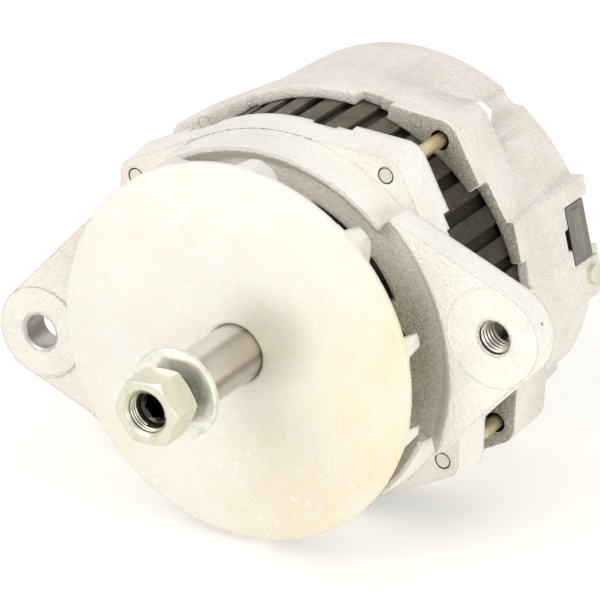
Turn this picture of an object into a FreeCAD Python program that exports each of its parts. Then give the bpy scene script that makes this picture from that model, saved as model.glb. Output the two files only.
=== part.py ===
import FreeCAD, Part
import math
import os
from types import SimpleNamespace

import Sketcher
from FreeCAD import Placement, Rotation, Vector

# Heavy-duty alternator with an open cast fan, two mounting ears and four through-bolts.
# The shaft runs along Y with its threaded nose towards -Y. The origin is on the shaft's
# axis, in the belt's plane, at mid length of the bare pulley seat. Before it is turned to
# its resting attitude, the line through the two ears lies along X and the part stands on Z.

doc = FreeCAD.newDocument("alternator")

SIZES = (
    # attitude
    ("rest_roll", 13.4, "turn about the shaft that lays a lobe and the round of the frames on the floor"),
    # shaft nose
    ("seat_radius", 11.1125, "pulley seat, seven eighths of an inch across"),
    ("seat_length", 37.5, "pulley seat from the washer to the fan"),
    ("thread_radius", 7.6, "nose thread, taken at its pitch line"),
    ("washer_radius", 17.5, "heavy flat washer"),
    ("washer_thick", 3.0, "heavy flat washer"),
    ("nut_gap", 4.7, "bare thread between washer and nut"),
    ("nut_flats", 23.8, "across the flats of the nut"),
    ("nut_height", 14.0, "nut along the shaft"),
    ("nut_turn", -8.0, "first corner of the nut in degrees"),
    ("nut_round", 2.0, "height of the turned corners of the nut"),
    ("nut_mouth", 1.4, "countersink of the nut's thread"),
    ("nut_recess", 3.6, "shaft end below the nut's face"),
    ("socket_flats", 8.4, "hexagon socket in the shaft's end"),
    ("socket_depth", 9.0, "hexagon socket in the shaft's end"),
    ("socket_mouth", 5.6, "countersink of the hexagon socket"),
    ("screw_fit", 0.03, "radial clearance of screws and press seats"),
    ("run_fit", 0.05, "radial clearance of running fits"),
    ("overrun", 1.0, "reach of a cutting outline past what it cuts"),
    ("edge_break", 0.5, "small chamfers"),
    # fan, stations from its front face
    ("fan_radius", 73.16, "fan disc"),
    ("disc_thick", 3.1, "fan disc"),
    ("blade_depth", 11.4, "blades behind the disc"),
    ("blade_thick", 2.2, "blade wall at its rear edge"),
    ("blade_foot", 3.2, "extra width of a blade where it meets the disc"),
    ("blade_bow", 46.0, "radius of the curve of a blade"),
    ("blade_inner", 40.0, "radius where the blades begin"),
    ("blade_corner", 3.4, "chamfer of the outer rear corner of a blade"),
    ("first_blade", 75.0, "tip of the first fan blade in degrees"),
    ("blade_lean", 47.0, "lean of a blade from the radius at its tip"),
    ("fan_hub_radius", 20.0, "boss behind the disc"),
    ("fan_hub_depth", 12.9, "boss behind the disc"),
    ("fan_hub_foot", 3.0, "chamfer where the boss meets the disc"),
    ("fan_mouth", 1.1, "countersink round the shaft"),
    # stator, which sets the size of the frames round it
    ("core_radius", 71.8, "stator core over its lands"),
    ("core_bore", "=core_radius - 21.4", "stator core bore"),
    ("core_front", "=drive_rim - 5", "stator core, station of its front face"),
    ("core_length", 37.0, "stator core"),
    ("core_seat", 0.15, "gap between core and frames"),
    ("rib_count", 36, "outer grooves and winding slots of the stator core"),
    ("rib_width", 5.0, "grooves between the lands"),
    ("rib_depth", 2.6, "grooves between the lands"),
    ("rib_turn", 5.0, "middle of the first outer groove in degrees"),
    ("slot_width", 4.4, "winding slots"),
    ("slot_root", "=core_radius - 8.8", "radius of the bottom of the winding slots"),
    ("slot_paper", 0.2, "gap between the winding and its slot"),
    ("turn_front", 8.0, "end turns ahead of the core"),
    ("turn_rear", 12.0, "end turns behind the core"),
    ("turn_inner", "=core_bore + 3.1", "end turns"),
    ("turn_outer", "=slot_root + 3", "end turns"),
    ("turn_slope", 3.0, "narrowing of the end turns to their ends"),
    # drive end frame
    ("ear_face", 18.2, "front faces of the ears"),
    ("ear_thick", 12.0, "ears along the shaft"),
    ("ear_span", "=drive_radius + 24.32", "ear holes from the shaft's axis"),
    ("ear_radius", 18.2, "rounded ends of the ears"),
    ("ear_inset", 0.8, "ear sides inside the round of the frame"),
    ("lip_face", "=ear_face + 1.8", "front edge of the air ring"),
    ("lip_inner", "=core_radius - 1.2", "inner radius of the air ring's edge"),
    ("lip_wall", 1.7, "width of the air ring's edge"),
    ("lip_draft", 1.0, "widening of the air ring to the lobe faces"),
    ("dish_floor", "=ear_face + 7.3", "front wall between hub and ring"),
    ("dish_foot", "=core_radius - 5.8", "radius where the ring rises from the wall"),
    ("sector_foot", "=core_radius + 1.2", "radius of the same foot in front of the ears"),
    ("sector_rise", 6.5, "run of the slope up to the ear faces"),
    ("sector_half", 34.5, "half angle of the ear sectors"),
    ("wall", 4.5, "front wall"),
    ("bell_wall", 2.8, "thinning of the bell ahead of the core's seat"),
    ("hub_face", "=ear_face + 0.7", "front face of the bearing hub"),
    ("hub_radius", 38.0, "bearing hub"),
    ("hub_flare", 1.5, "widening of the hub to the front wall"),
    ("hub_lip", 7.0, "shoulder in front of the bearing"),
    ("lobe_face", "=ear_face + 18.43", "front faces of the bolt lobes"),
    ("drive_rim", "=lobe_face + 15.37", "rear edge of the drive end frame"),
    ("drive_radius", "=core_radius + 3.7", "drive end frame at its rear edge"),
    ("drive_lobe", 8.4, "lobes at the rear edge, about each bolt"),
    ("draft", 6.5, "draft of the drive end frame"),
    ("drive_step_far", 3.4, "rim beside the lobes, set back from the lobes"),
    ("drive_step_low", 5.0, "lowest part of the rim, set back from the lobes"),
    ("drive_step_mid", 3.6, "middle of the rim, set back from the lobes"),
    ("drive_half_far", 27.8, "half angle of the rim between two lobes"),
    ("drive_half_low", 23.6, "half angle of the lowest part of the rim"),
    ("drive_half_mid", 16.0, "half angle of the middle of the rim"),
    ("bolt_circle", "=core_radius + 6.06", "through-bolts from the shaft's axis"),
    ("bolt_radius", 2.7, "through-bolt shank"),
    ("bolt_hole", 3.85, "bolt holes of the rear frame"),
    ("bolt_head", 7.0, "height of a through-bolt head with its flange"),
    ("bolt_flange", 1.4, "flange of a through-bolt head"),
    ("bolt_flats", 9.0, "width of a through-bolt head"),
    ("bolt_turn", 15.0, "first corner of a through-bolt head in degrees"),
    ("tapped_hole", 3.2, "mouths of the tapped holes of the drive end frame"),
    ("tapped_mouth", 0.5, "depth of these mouths"),
    ("bushing_outer", 7.65, "steel bushing of the plain ear"),
    ("bushing_bore", 6.5, "steel bushing of the plain ear"),
    ("bushing_lip", 0.75, "flare in the mouth of the bushing"),
    ("thread_hole", 6.35, "threaded ear, half inch thread at its crest"),
    ("thread_mouth", 0.85, "countersink of the threaded ear"),
    ("pad_radius", 19.3, "machined pad of the threaded ear"),
    ("pad_depth", 0.35, "cut of the machined pad"),
    ("boss_radius", 17.9, "raised boss of the plain ear"),
    ("boss_rise", 0.8, "raised boss of the plain ear"),
    ("vent_outer", "=core_radius - 14.5", "outer radius of the front air windows"),
    ("vent_inner", "=hub_radius + 4", "inner radius of the front air windows"),
    ("vent_angle", 18.0, "width of a front air window in degrees"),
    ("vent_count", 12, "front air windows"),
    ("vent_turn", 20.5, "middle of the first front air window in degrees"),
    # rear frame
    ("rear_lobe_face", "=core_front + 27", "front faces of the rear lobes"),
    ("rear_rim", 5.5, "rim on the two ear sides, set back from the rear lobes"),
    ("rear_notch", 9.0, "notch in the middle of that rim, set back from the rear lobes"),
    ("rear_half_rim", 28.7, "half angle of that rim"),
    ("rear_half_notch", 4.0, "half angle of that notch"),
    ("rear_step_far", 4.6, "upper and lower rim beside the lobes, set back from them"),
    ("rear_step_low", 5.9, "lowest part of that rim, set back from the lobes"),
    ("rear_half_far", 28.0, "half angle of the upper and lower rim"),
    ("rear_half_low", 23.8, "half angle up to the lowest part of that rim"),
    ("rear_half_mid", 17.2, "half angle of the proud middle of that rim"),
    ("rear_radius", "=core_radius + 5.1", "rear frame at its front edge"),
    ("rear_taper", 2.5, "narrowing of the rear frame to its rear edge"),
    ("rear_lobe", 8.6, "rear lobes, about each bolt"),
    ("boss_end", "=rear_lobe_face + 23", "rear ends of the bolt bosses"),
    ("boss_slope", 4.0, "run of the bosses' shoulders behind their ends"),
    ("boss_foot", 2.5, "lobe radius where the shoulders end"),
    ("rear_draft", 2.4, "draft of the rear frame"),
    ("rear_edge", "=rear_lobe_face + 57.5", "rear face of the rear frame"),
    ("rear_chamfer", 0.9, "chamfer of the rear edge"),
    ("rear_wall", 4.0, "walls of the rear frame"),
    ("wrench_radius", 6.5, "wrench clearance behind each bolt boss"),
    ("rear_hub_radius", 19.0, "rear bearing hub"),
    ("rear_hub_end", "=rear_edge + 6.5", "rear bearing hub"),
    ("panel_face", "=core_radius + 4.6", "flat side panel from the shaft's axis"),
    ("panel_root", "=core_radius - 10", "inner edge of the side panel"),
    ("panel_top", 21.4, "upper edge of the side panel"),
    ("panel_low", 24.0, "lower edge of the side panel"),
    ("window_front", "=rear_edge - 16.7", "front edge of the connector window"),
    ("window_top", 13.9, "connector window above the shaft's axis"),
    ("window_low", 9.0, "connector window below the shaft's axis"),
    ("window_slot", 2.4, "slot in the window's front edge"),
    ("slot_top", 5.7, "that slot above the shaft's axis"),
    ("slot_low", 2.4, "that slot below the shaft's axis"),
    ("rear_vent_outer", "=core_radius - 9.8", "rear air slots"),
    ("rear_vent_inner", 34.0, "rear air slots"),
    ("rear_vent_count", 24, "rear air slots"),
    ("rear_vent_angle", 8.0, "width of a rear air slot in degrees"),
    # front bearing
    ("race_front", "=hub_face + 2.1", "front bearing, station of its front face"),
    ("race_width", 17.0, "front bearing"),
    ("race_outer", 31.0, "front bearing"),
    ("race_bore", 12.5, "front bearing"),
    ("race_wall", 5.5, "walls of the front bearing's races"),
    ("seal_depth", 0.6, "seals below the faces of the front bearing"),
    ("seal_thick", 1.2, "seals of the front bearing"),
    ("collar_wall", 5.5, "collar between fan and front bearing"),
    ("retainer_thick", 2.5, "plate that holds the front bearing"),
    ("retainer_screw", 2.0, "screws of the bearing retainer"),
    ("retainer_head", 1.8, "height of their heads"),
    ("head_ratio", 1.6, "head over shank of the small round screws"),
    ("screw_length", 8.0, "small screws below their heads"),
    # rotor
    ("pole_radius", "=core_bore - 0.6", "claw poles"),
    ("pole_front", "=core_front - 2", "front face of the rotor"),
    ("pole_length", 46.0, "rotor over both poles"),
    ("pole_plate", 11.0, "end plate of a pole"),
    ("pole_root", "=pole_radius - 8.8", "end plate radius between the claws"),
    ("pole_break", 2.0, "chamfer of an end plate"),
    ("claw_root", 24.0, "claw width at its root"),
    ("claw_tip", 9.0, "claw width at its tip"),
    ("claw_thick", 9.5, "claw at its root"),
    ("claw_flare", 3.0, "widening of a claw's foot to the outer face"),
    ("claw_short", 2.0, "claw tips short of the other pole's face"),
    ("claw_spare", 2.0, "metal over the claws that is turned away"),
    ("core_shaft", 14.0, "shaft inside the rotor"),
    ("coil_inner", 19.5, "field coil"),
    ("coil_outer", "=pole_radius - 12.8", "field coil"),
    ("coil_gap", 0.3, "gap round the field coil"),
    ("ring_radius", 15.5, "slip rings"),
    ("ring_width", 6.0, "slip rings"),
    ("ring_thick", 3.0, "slip rings"),
    ("sleeve_thick", 2.5, "insulating sleeve under the slip rings"),
    ("sleeve_end", 1.5, "insulating sleeve beyond the slip rings"),
    ("ring_front", "=pole_front + pole_length + 7.5", "front slip ring, station of its front edge"),
    ("ring_pitch", 8.5, "from one slip ring to the next"),
    ("shaft_step", 3.0, "shoulders of the shaft clear of what they face"),
    ("rear_journal", 8.5, "rear bearing journal"),
    ("journal_short", 0.5, "shaft end inside the rear bearing"),
    # rear bearing
    ("journal_shell", 13.5, "outer radius of the rear bearing's shell"),
    ("needle_radius", 1.75, "rear bearing needles"),
    ("needle_count", 12, "rear bearing needles"),
    ("needle_short", 2.0, "needles short of each end of their shell"),
    ("needle_front", "=rear_edge - 12.5", "rear bearing, station of its front edge"),
    ("needle_length", 15.0, "rear bearing shell"),
    ("cage_half", 1.2, "half width of a cage ring"),
    ("cage_thick", 1.0, "cage rings"),
    # brush gear
    ("brush_lean", 13.4, "turn of the brush box from the ears' normal"),
    ("brush_width", 8.0, "brush across the shaft"),
    ("brush_thick", 5.0, "brush along the shaft"),
    ("brush_length", 16.0, "brush"),
    ("brush_travel", 4.0, "free travel of a brush"),
    ("brush_fit", 0.15, "gap round a brush in its box"),
    ("box_wall", 1.8, "side walls of the brush box"),
    ("box_end", 1.2, "end walls of the brush box beyond the slip rings"),
    ("box_roof", 2.5, "roof of the brush box"),
    ("box_clear", 2.0, "brush box above the slip rings"),
    ("spring_radius", 2.1, "brush spring"),
    ("spring_wire", 0.8, "brush spring wire"),
    ("spring_turns", 4, "turns of a brush spring"),
    ("spring_packed", 5.95, "least length of a brush spring"),
    # output stud, rectifier and the small electrical parts
    ("stud_circle", 48.0, "output stud from the shaft's axis"),
    ("stud_turn", 217.5, "output stud, angle from the threaded ear in degrees"),
    ("stud_land", 14.0, "half angle of the wall left whole round the output stud"),
    ("stud_radius", 3.0, "output stud"),
    ("stud_length", 16.0, "thread of the output stud beyond its nut"),
    ("thread_relief", 0.33, "thread of the output stud, at its pitch line, below its shank"),
    ("stud_flats", 9.9, "head and nut of the output stud, across the flats"),
    ("stud_head", 3.5, "head of the output stud"),
    ("stud_nut", 5.0, "nut of the output stud"),
    ("nut_lean", 10.0, "first corner of the output nut in degrees"),
    ("insulator_radius", 6.0, "insulator of the output stud in the end wall"),
    ("collar_radius", 10.0, "collar of the insulator"),
    ("collar_thick", 3.0, "collar of the insulator"),
    ("sink_thick", 6.0, "heat sink"),
    ("sink_inner", 36.0, "heat sink"),
    ("sink_outer", "=rear_vent_outer", "heat sink"),
    ("sink_start", 150.0, "heat sink, angle of its first end"),
    ("sink_end", 285.0, "heat sink, angle of its second end"),
    ("diode_radius", 6.35, "diode case"),
    ("diode_proud", 2.5, "diode case before the heat sink"),
    ("diode_lead", 1.27, "diode lead"),
    ("lead_length", 5.5, "diode lead"),
    ("window_gap", 0.3, "gap between the regulator and its window"),
    ("regulator_inner", 30.0, "inner end of the regulator"),
    ("plate_thick", 3.0, "connector plate"),
    ("plate_sunk", 0.4, "connector plate below the side panel"),
    ("plate_swell", 4.3, "radius of the swelling on the connector plate"),
    ("swell_rise", 0.8, "swelling on the connector plate"),
    ("swell_end", 2.0, "swelling short of the plate's ends"),
    ("tip_deep", 7.8, "relay terminal across the side panel"),
    ("tip_high", 3.2, "relay terminal"),
    ("ground_screw", 2.4, "ground screw in the side panel"),
    ("ground_head", 2.2, "head of the ground screw"),
    ("screw_station", "=rear_edge - 7.1", "ground screw along the shaft"),
    ("screw_drop", 15.4, "ground screw below the shaft's axis"),
    ("capacitor_radius", 8.0, "capacitor"),
    ("capacitor_length", 28.0, "capacitor"),
    ("capacitor_circle", 50.0, "capacitor from the shaft's axis"),
    ("capacitor_turn", 125.0, "capacitor, angle from the threaded ear"),
)

sheet = doc.addObject("Spreadsheet::Sheet", "Sizes")
for row, (alias, number, note) in enumerate(SIZES, start=1):
    sheet.set(f"A{row}", alias)
    sheet.setAlias(f"B{row}", alias)
    sheet.set(f"C{row}", note)
for row, (alias, number, note) in enumerate(SIZES, start=1):
    sheet.set(f"B{row}", str(number))
doc.recompute()


class Size:
    """A number together with the sheet formula that gives it."""

    def __init__(self, value, text):
        self.value = float(value)
        self.text = text

    def __add__(self, other):
        other = as_size(other)
        return Size(self.value + other.value, f"({self.text} + {other.text})")

    def __radd__(self, other):
        return as_size(other) + self

    def __sub__(self, other):
        other = as_size(other)
        return Size(self.value - other.value, f"({self.text} - {other.text})")

    def __rsub__(self, other):
        return as_size(other) - self

    def __mul__(self, other):
        other = as_size(other)
        return Size(self.value * other.value, f"({self.text} * {other.text})")

    def __rmul__(self, other):
        return as_size(other) * self

    def __truediv__(self, other):
        other = as_size(other)
        return Size(self.value / other.value, f"({self.text} / {other.text})")

    def __rtruediv__(self, other):
        return as_size(other) / self

    def __neg__(self):
        return Size(-self.value, f"(0 - {self.text})")


def as_size(item):
    """Take a plain number as a Size."""
    return item if isinstance(item, Size) else Size(item, repr(float(item)))


def cosine(angle):
    """Cosine of an angle in degrees."""
    angle = as_size(angle)
    return Size(math.cos(math.radians(angle.value)), f"cos({angle.text})")


def sine(angle):
    """Sine of an angle in degrees."""
    angle = as_size(angle)
    return Size(math.sin(math.radians(angle.value)), f"sin({angle.text})")


S = SimpleNamespace(**{alias: Size(sheet.get(alias), f"Sizes.{alias}") for alias, _, _ in SIZES})
ZERO = as_size(0)
# Directions of the four bolts, and of the sides between them, in degrees.
QUARTERS = (45, 135, 225, 315)
QUARTER_SIDES = (0, 90, 180, 270)
EAR_SIDES = (0, 180)
OPEN_SIDES = (90, 270)
NODES = []


def bind(item, path, size):
    """Tie one property of an object to the sheet."""
    item.setExpression(path, as_size(size).text)


def settle(item, label, lean=ZERO):
    """Name a sub-part and turn it about the shaft into the resting attitude."""
    turn = S.rest_roll - lean
    item.Label = label
    item.Placement = Placement(Vector(0, S.seat_length.value / 2, 0), Rotation(Vector(0, -1, 0), 1))
    bind(item, "Placement.Base.y", S.seat_length / 2)
    bind(item, "Placement.Rotation.Angle", turn)
    NODES.append(item)
    return item


def new_body(label, lean=ZERO):
    """Start a sub-part that is built from sketches."""
    return settle(doc.addObject("PartDesign::Body", label), label, lean)


def sketch(body, role, station=None):
    """Add a sketch on one of the body's origin planes, moved to a station along the shaft."""
    plane = next(item for item in body.Origin.OriginFeatures if item.Role == role)
    drawing = body.newObject("Sketcher::SketchObject", f"{body.Name}_outline")
    drawing.AttachmentSupport = [(plane, "")]
    drawing.MapMode = "FlatFace"
    if station is not None:
        bind(drawing, "AttachmentOffset.Base.z", -as_size(station))
    return drawing


def polygon(drawing, corners):
    """Draw a closed outline of straight lines and tie each of its corners to the sheet."""
    corners = [(as_size(across), as_size(along)) for across, along in corners]
    spots = [Vector(across.value, along.value, 0) for across, along in corners]
    first = drawing.GeometryCount
    after = [(index + 1) % len(spots) for index in range(len(spots))]
    lines = [Part.LineSegment(spot, spots[after[index]]) for index, spot in enumerate(spots)]
    drawing.addGeometry(lines, False)
    drawing.addConstraint([
        Sketcher.Constraint("Coincident", first + index, 2, first + after[index], 1)
        for index in range(len(spots))
    ])
    for index, corner in enumerate(corners):
        for kind, axis, reach in (("DistanceX", -2, corner[0]), ("DistanceY", -1, corner[1])):
            if reach.text == ZERO.text:
                drawing.addConstraint(Sketcher.Constraint("PointOnObject", first + index, 1, axis))
                continue
            rule = Sketcher.Constraint(kind, -1, 1, first + index, 1, reach.value)
            number = drawing.addConstraint(rule)
            drawing.setExpression(f"Constraints[{number}]", reach.text)


def circle(drawing, across, along, radius):
    """Draw a circle and tie its centre and radius to the sheet."""
    across = as_size(across)
    along = as_size(along)
    radius = as_size(radius)
    centre = Vector(across.value, along.value, 0)
    index = drawing.addGeometry(Part.Circle(centre, Vector(0, 0, 1), radius.value), False)
    number = drawing.addConstraint(Sketcher.Constraint("Radius", index, radius.value))
    drawing.setExpression(f"Constraints[{number}]", radius.text)
    for kind, axis, reach in (("DistanceX", -2, across), ("DistanceY", -1, along)):
        if reach.text == ZERO.text:
            drawing.addConstraint(Sketcher.Constraint("PointOnObject", index, 3, axis))
            continue
        number = drawing.addConstraint(Sketcher.Constraint(kind, -1, 1, index, 3, reach.value))
        drawing.setExpression(f"Constraints[{number}]", reach.text)


def rectangle(drawing, left, right, low, high):
    """Draw an upright rectangle."""
    polygon(drawing, ((left, low), (right, low), (right, high), (left, high)))


def hexagon(drawing, across, along, flats, turn=0):
    """Draw a hexagon by its width across the flats, with one corner at the given turn."""
    corner = as_size(flats) / math.sqrt(3)
    polygon(drawing, [
        (across + corner * cosine(turn + 60 * step), along + corner * sine(turn + 60 * step))
        for step in range(6)
    ])


def at_angle(radius, angle):
    """Point of a sketch at a radius and an angle in degrees from the X axis."""
    return Vector(radius * math.cos(math.radians(angle)), radius * math.sin(math.radians(angle)), 0)


def arc_about(centre, start, end):
    """The shorter arc about a centre from one point to another."""
    middle = (start - centre) + (end - centre)
    middle = middle * ((start - centre).Length / middle.Length)
    return Part.Arc(start, centre + middle, end)


def sector(drawing, inner, outer, start, end):
    """Draw a piece of a ring between two angles in degrees."""
    near = at_angle(inner, start), at_angle(inner, end)
    far = at_angle(outer, start), at_angle(outer, end)
    centre = Vector(0, 0, 0)
    drawing.addGeometry([
        arc_about(centre, far[0], far[1]),
        Part.LineSegment(far[1], near[1]),
        arc_about(centre, near[1], near[0]),
        Part.LineSegment(near[0], far[0]),
    ], False)


def belt(rounds):
    """Outline of arcs and tangent lines round a ring of circles, given in turn as (centre, radius)."""
    touches = []
    for index, (centre, radius) in enumerate(rounds):
        following, next_radius = rounds[(index + 1) % len(rounds)]
        step = following - centre
        lean = (radius - next_radius) / step.Length
        step.normalize()
        outward = step * lean + Vector(step.y, -step.x, 0) * math.sqrt(1 - lean * lean)
        touches.append((centre + outward * radius, following + outward * next_radius))
    edges = []
    for index, (centre, _) in enumerate(rounds):
        edges.append(arc_about(centre, touches[index - 1][1], touches[index][0]))
        edges.append(Part.LineSegment(*touches[index]))
    return edges


def lobed(drawing, radius, lobe):
    """Draw the outline of a frame: a circle with a lobe round each of the four bolts."""
    rounds = []
    for angle in QUARTERS:
        rounds.append((at_angle(S.bolt_circle.value, angle), lobe.value))
        rounds.append((Vector(0, 0, 0), radius.value))
    drawing.addGeometry(belt(rounds), False)


def cut_check(body, feature, before):
    """A cut that removes nothing points the wrong way."""
    doc.recompute()
    if body.Shape.Volume > before - 1e-3:
        raise ValueError(f"{feature.Name} of {body.Label} removes nothing")


def revolve(body, corners, cut=False, angle=360):
    """Turn an outline of (radius, station) corners about the shaft's axis."""
    drawing = sketch(body, "XY_Plane")
    polygon(drawing, corners)
    doc.recompute()
    before = body.Shape.Volume if cut else 0
    kind = "Groove" if cut else "Revolution"
    feature = body.newObject(f"PartDesign::{kind}", f"{body.Name}_{kind}")
    feature.Profile = drawing
    feature.ReferenceAxis = (drawing, ["V_Axis"])
    feature.Midplane = angle != 360
    bind(feature, "Angle", angle)
    if cut:
        cut_check(body, feature, before)
    return feature


def pad(body, drawing, length):
    """Raise an outline towards the nose."""
    feature = body.newObject("PartDesign::Pad", f"{body.Name}_Pad")
    feature.Profile = drawing
    bind(feature, "Length", length)
    return feature


def pocket(body, drawing, length):
    """Cut an outline away from its station towards the rear."""
    doc.recompute()
    before = body.Shape.Volume
    feature = body.newObject("PartDesign::Pocket", f"{body.Name}_Pocket")
    feature.Profile = drawing
    bind(feature, "Length", length)
    cut_check(body, feature, before)
    return feature


def loft(body, first, second):
    """Join two outlines by straight walls."""
    feature = body.newObject("PartDesign::AdditiveLoft", f"{body.Name}_Loft")
    feature.Profile = first
    feature.Sections = [second]
    feature.Ruled = True
    return feature


def bolt_spots():
    """Centres of the four through-bolts as Sizes."""
    return [(S.bolt_circle * cosine(angle), S.bolt_circle * sine(angle)) for angle in QUARTERS]


def drive_end_frame():
    """Cast frame behind the fan: bearing hub, open front wall, air ring, ears and bolt lobes."""
    body = new_body("drive_end_frame")
    ring_outer = S.lip_inner + S.lip_wall
    revolve(body, (
        (0, S.hub_face), (S.hub_radius, S.hub_face), (S.hub_radius + S.hub_flare, S.dish_floor),
        (S.dish_foot, S.dish_floor), (S.lip_inner, S.lip_face), (ring_outer, S.lip_face),
        (ring_outer + S.lip_draft, S.lobe_face), (S.drive_radius, S.drive_rim), (0, S.drive_rim),
    ))
    front = sketch(body, "XZ_Plane", S.lobe_face)
    depth = S.drive_rim - S.lobe_face
    narrowing = math.tan(math.radians(S.draft.value)) * depth.value
    lobed(front, S.drive_radius - narrowing, S.drive_lobe - narrowing)
    rear = sketch(body, "XZ_Plane", S.drive_rim)
    lobed(rear, S.drive_radius, S.drive_lobe)
    loft(body, front, rear)
    for side in (1, -1):
        ear_plate(body, side)
    inside = S.dish_floor + S.wall
    race_rear = S.race_front + S.race_width
    bore = S.race_outer + S.screw_fit
    shoulder = S.race_outer - S.hub_lip
    bell = S.core_radius - S.bell_wall
    pilot = S.core_radius + S.core_seat
    revolve(body, (
        (0, S.hub_face - S.overrun), (shoulder, S.hub_face - S.overrun), (shoulder, S.race_front),
        (bore, S.race_front), (bore, race_rear), (S.hub_radius, race_rear), (S.hub_radius, inside),
        (S.dish_foot, inside), (bell, inside + S.bell_wall), (bell, S.core_front),
        (pilot, S.core_front), (pilot, S.drive_rim + S.overrun), (0, S.drive_rim + S.overrun),
    ), cut=True)
    slope_end = S.sector_foot + S.sector_rise
    before = S.ear_face - S.overrun * 2
    slope = revolve(body, (
        (S.dish_foot - S.wall, S.dish_floor), (S.sector_foot, S.dish_floor),
        (slope_end, S.ear_face), (slope_end, before), (S.dish_foot - S.wall, before),
    ), cut=True, angle=S.sector_half * 2)
    both = body.newObject("PartDesign::PolarPattern", "both_sectors")
    both.Originals = [slope]
    both.Axis = (slope.Profile[0], ["V_Axis"])
    both.Angle = 360
    both.Occurrences = 2
    body.Tip = both
    windows = sketch(body, "XZ_Plane", S.dish_floor - S.overrun)
    for index in range(int(S.vent_count.value)):
        middle = S.vent_turn.value + index * 360 / S.vent_count.value
        half = S.vent_angle.value / 2
        sector(windows, S.vent_inner.value, S.vent_outer.value, middle - half, middle + half)
    pocket(body, windows, S.wall + S.overrun * 2)
    for depth, start, end in (
        (S.drive_step_far, S.drive_half_low, S.drive_half_far),
        (S.drive_step_low, S.drive_half_mid, S.drive_half_low),
        (S.drive_step_mid, -S.drive_half_mid, S.drive_half_mid),
    ):
        spans = both_sides(start, end)
        rim_steps(body, QUARTER_SIDES, spans, S.drive_rim - depth, S.drive_rim + S.overrun)
    taps = sketch(body, "XZ_Plane", S.lobe_face - S.overrun)
    for across, along in bolt_spots():
        circle(taps, across, along, S.bolt_radius + S.screw_fit)
    pocket(body, taps, S.drive_rim - S.lobe_face + S.overrun * 2)
    rings = sketch(body, "XZ_Plane", S.lobe_face)
    for across, along in bolt_spots():
        circle(rings, across, along, S.tapped_hole)
    pocket(body, rings, S.tapped_mouth)
    ear_holes(body)
    retainer_holes = sketch(body, "XZ_Plane", race_rear - S.screw_length)
    for across, along in retainer_spots():
        circle(retainer_holes, across, along, S.retainer_screw + S.screw_fit)
    pocket(body, retainer_holes, S.screw_length + S.overrun)


def ear_plate(body, side):
    """Flat ear whose sides run tangent from its rounded end to the frame."""
    plate = sketch(body, "XZ_Plane", S.ear_face + S.ear_thick)
    hub = Vector(side * S.ear_span.value, 0, 0)
    frame = Vector(0, 0, 0)
    radius = S.drive_radius.value - S.ear_inset.value
    edges = belt([(hub, S.ear_radius.value), (frame, radius)])
    tip = edges[0]
    leaving = edges[1]
    reach = radius / math.cos(math.radians(
        90 - math.degrees(math.asin((radius - S.ear_radius.value) / S.ear_span.value))
        - S.sector_half.value))
    turn = S.sector_half.value
    root = S.dish_foot.value + S.bell_wall.value
    outer = [at_angle(reach, angle) for angle in (-turn, turn)]
    inner = [at_angle(root, angle) for angle in (-turn, turn)]
    if side < 0:
        outer = [Vector(-spot.x, -spot.y, 0) for spot in outer]
        inner = [Vector(-spot.x, -spot.y, 0) for spot in inner]
    plate.addGeometry([
        tip,
        Part.LineSegment(leaving.StartPoint, outer[1]),
        Part.LineSegment(outer[1], inner[1]),
        arc_about(frame, inner[1], inner[0]),
        Part.LineSegment(inner[0], outer[0]),
        Part.LineSegment(outer[0], edges[3].EndPoint),
    ], False)
    pad(body, plate, S.ear_thick)


def both_sides(start, end):
    """Span of angles and its mirror image, or the one span where it is its own mirror image."""
    if start.value < 0:
        return [(start.value, end.value)]
    return [(start.value, end.value), (-end.value, -start.value)]


def rim_steps(body, sides, spans, front, rear):
    """Cut a rim between two stations, on the given sides between the lobes."""
    steps = sketch(body, "XZ_Plane", front)
    inner = (S.core_radius - S.overrun).value
    for side in sides:
        for start, end in spans:
            sector(steps, inner, S.bolt_circle.value + S.bolt_hole.value, side + start, side + end)
    pocket(body, steps, rear - front)


def ear_holes(body):
    """Bore of the bushed ear, threaded hole of the other one, boss and machined pad."""
    before = S.ear_face - S.overrun
    through = sketch(body, "XZ_Plane", before)
    circle(through, -S.ear_span, ZERO, S.bushing_outer + S.screw_fit)
    circle(through, S.ear_span, ZERO, S.thread_hole)
    pocket(body, through, S.ear_thick + S.overrun * 2)
    mouth = sketch(body, "XZ_Plane", before)
    circle(mouth, S.ear_span, ZERO, S.thread_hole + S.thread_mouth)
    pocket(body, mouth, S.overrun + S.pad_depth + S.thread_mouth)
    machined = sketch(body, "XZ_Plane", before)
    circle(machined, S.ear_span, ZERO, S.pad_radius)
    pocket(body, machined, S.overrun + S.pad_depth)
    around = sketch(body, "XZ_Plane", before)
    circle(around, -S.ear_span, ZERO, S.ear_radius * 2)
    circle(around, -S.ear_span, ZERO, S.boss_radius)
    pocket(body, around, S.overrun + S.boss_rise)


def retainer_spots():
    """Screws of the bearing retainer, on the hub's rear face."""
    radius = (S.race_outer + S.hub_radius) / 2
    return [(radius * cosine(angle), radius * sine(angle)) for angle in (90, 210, 330)]


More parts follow.
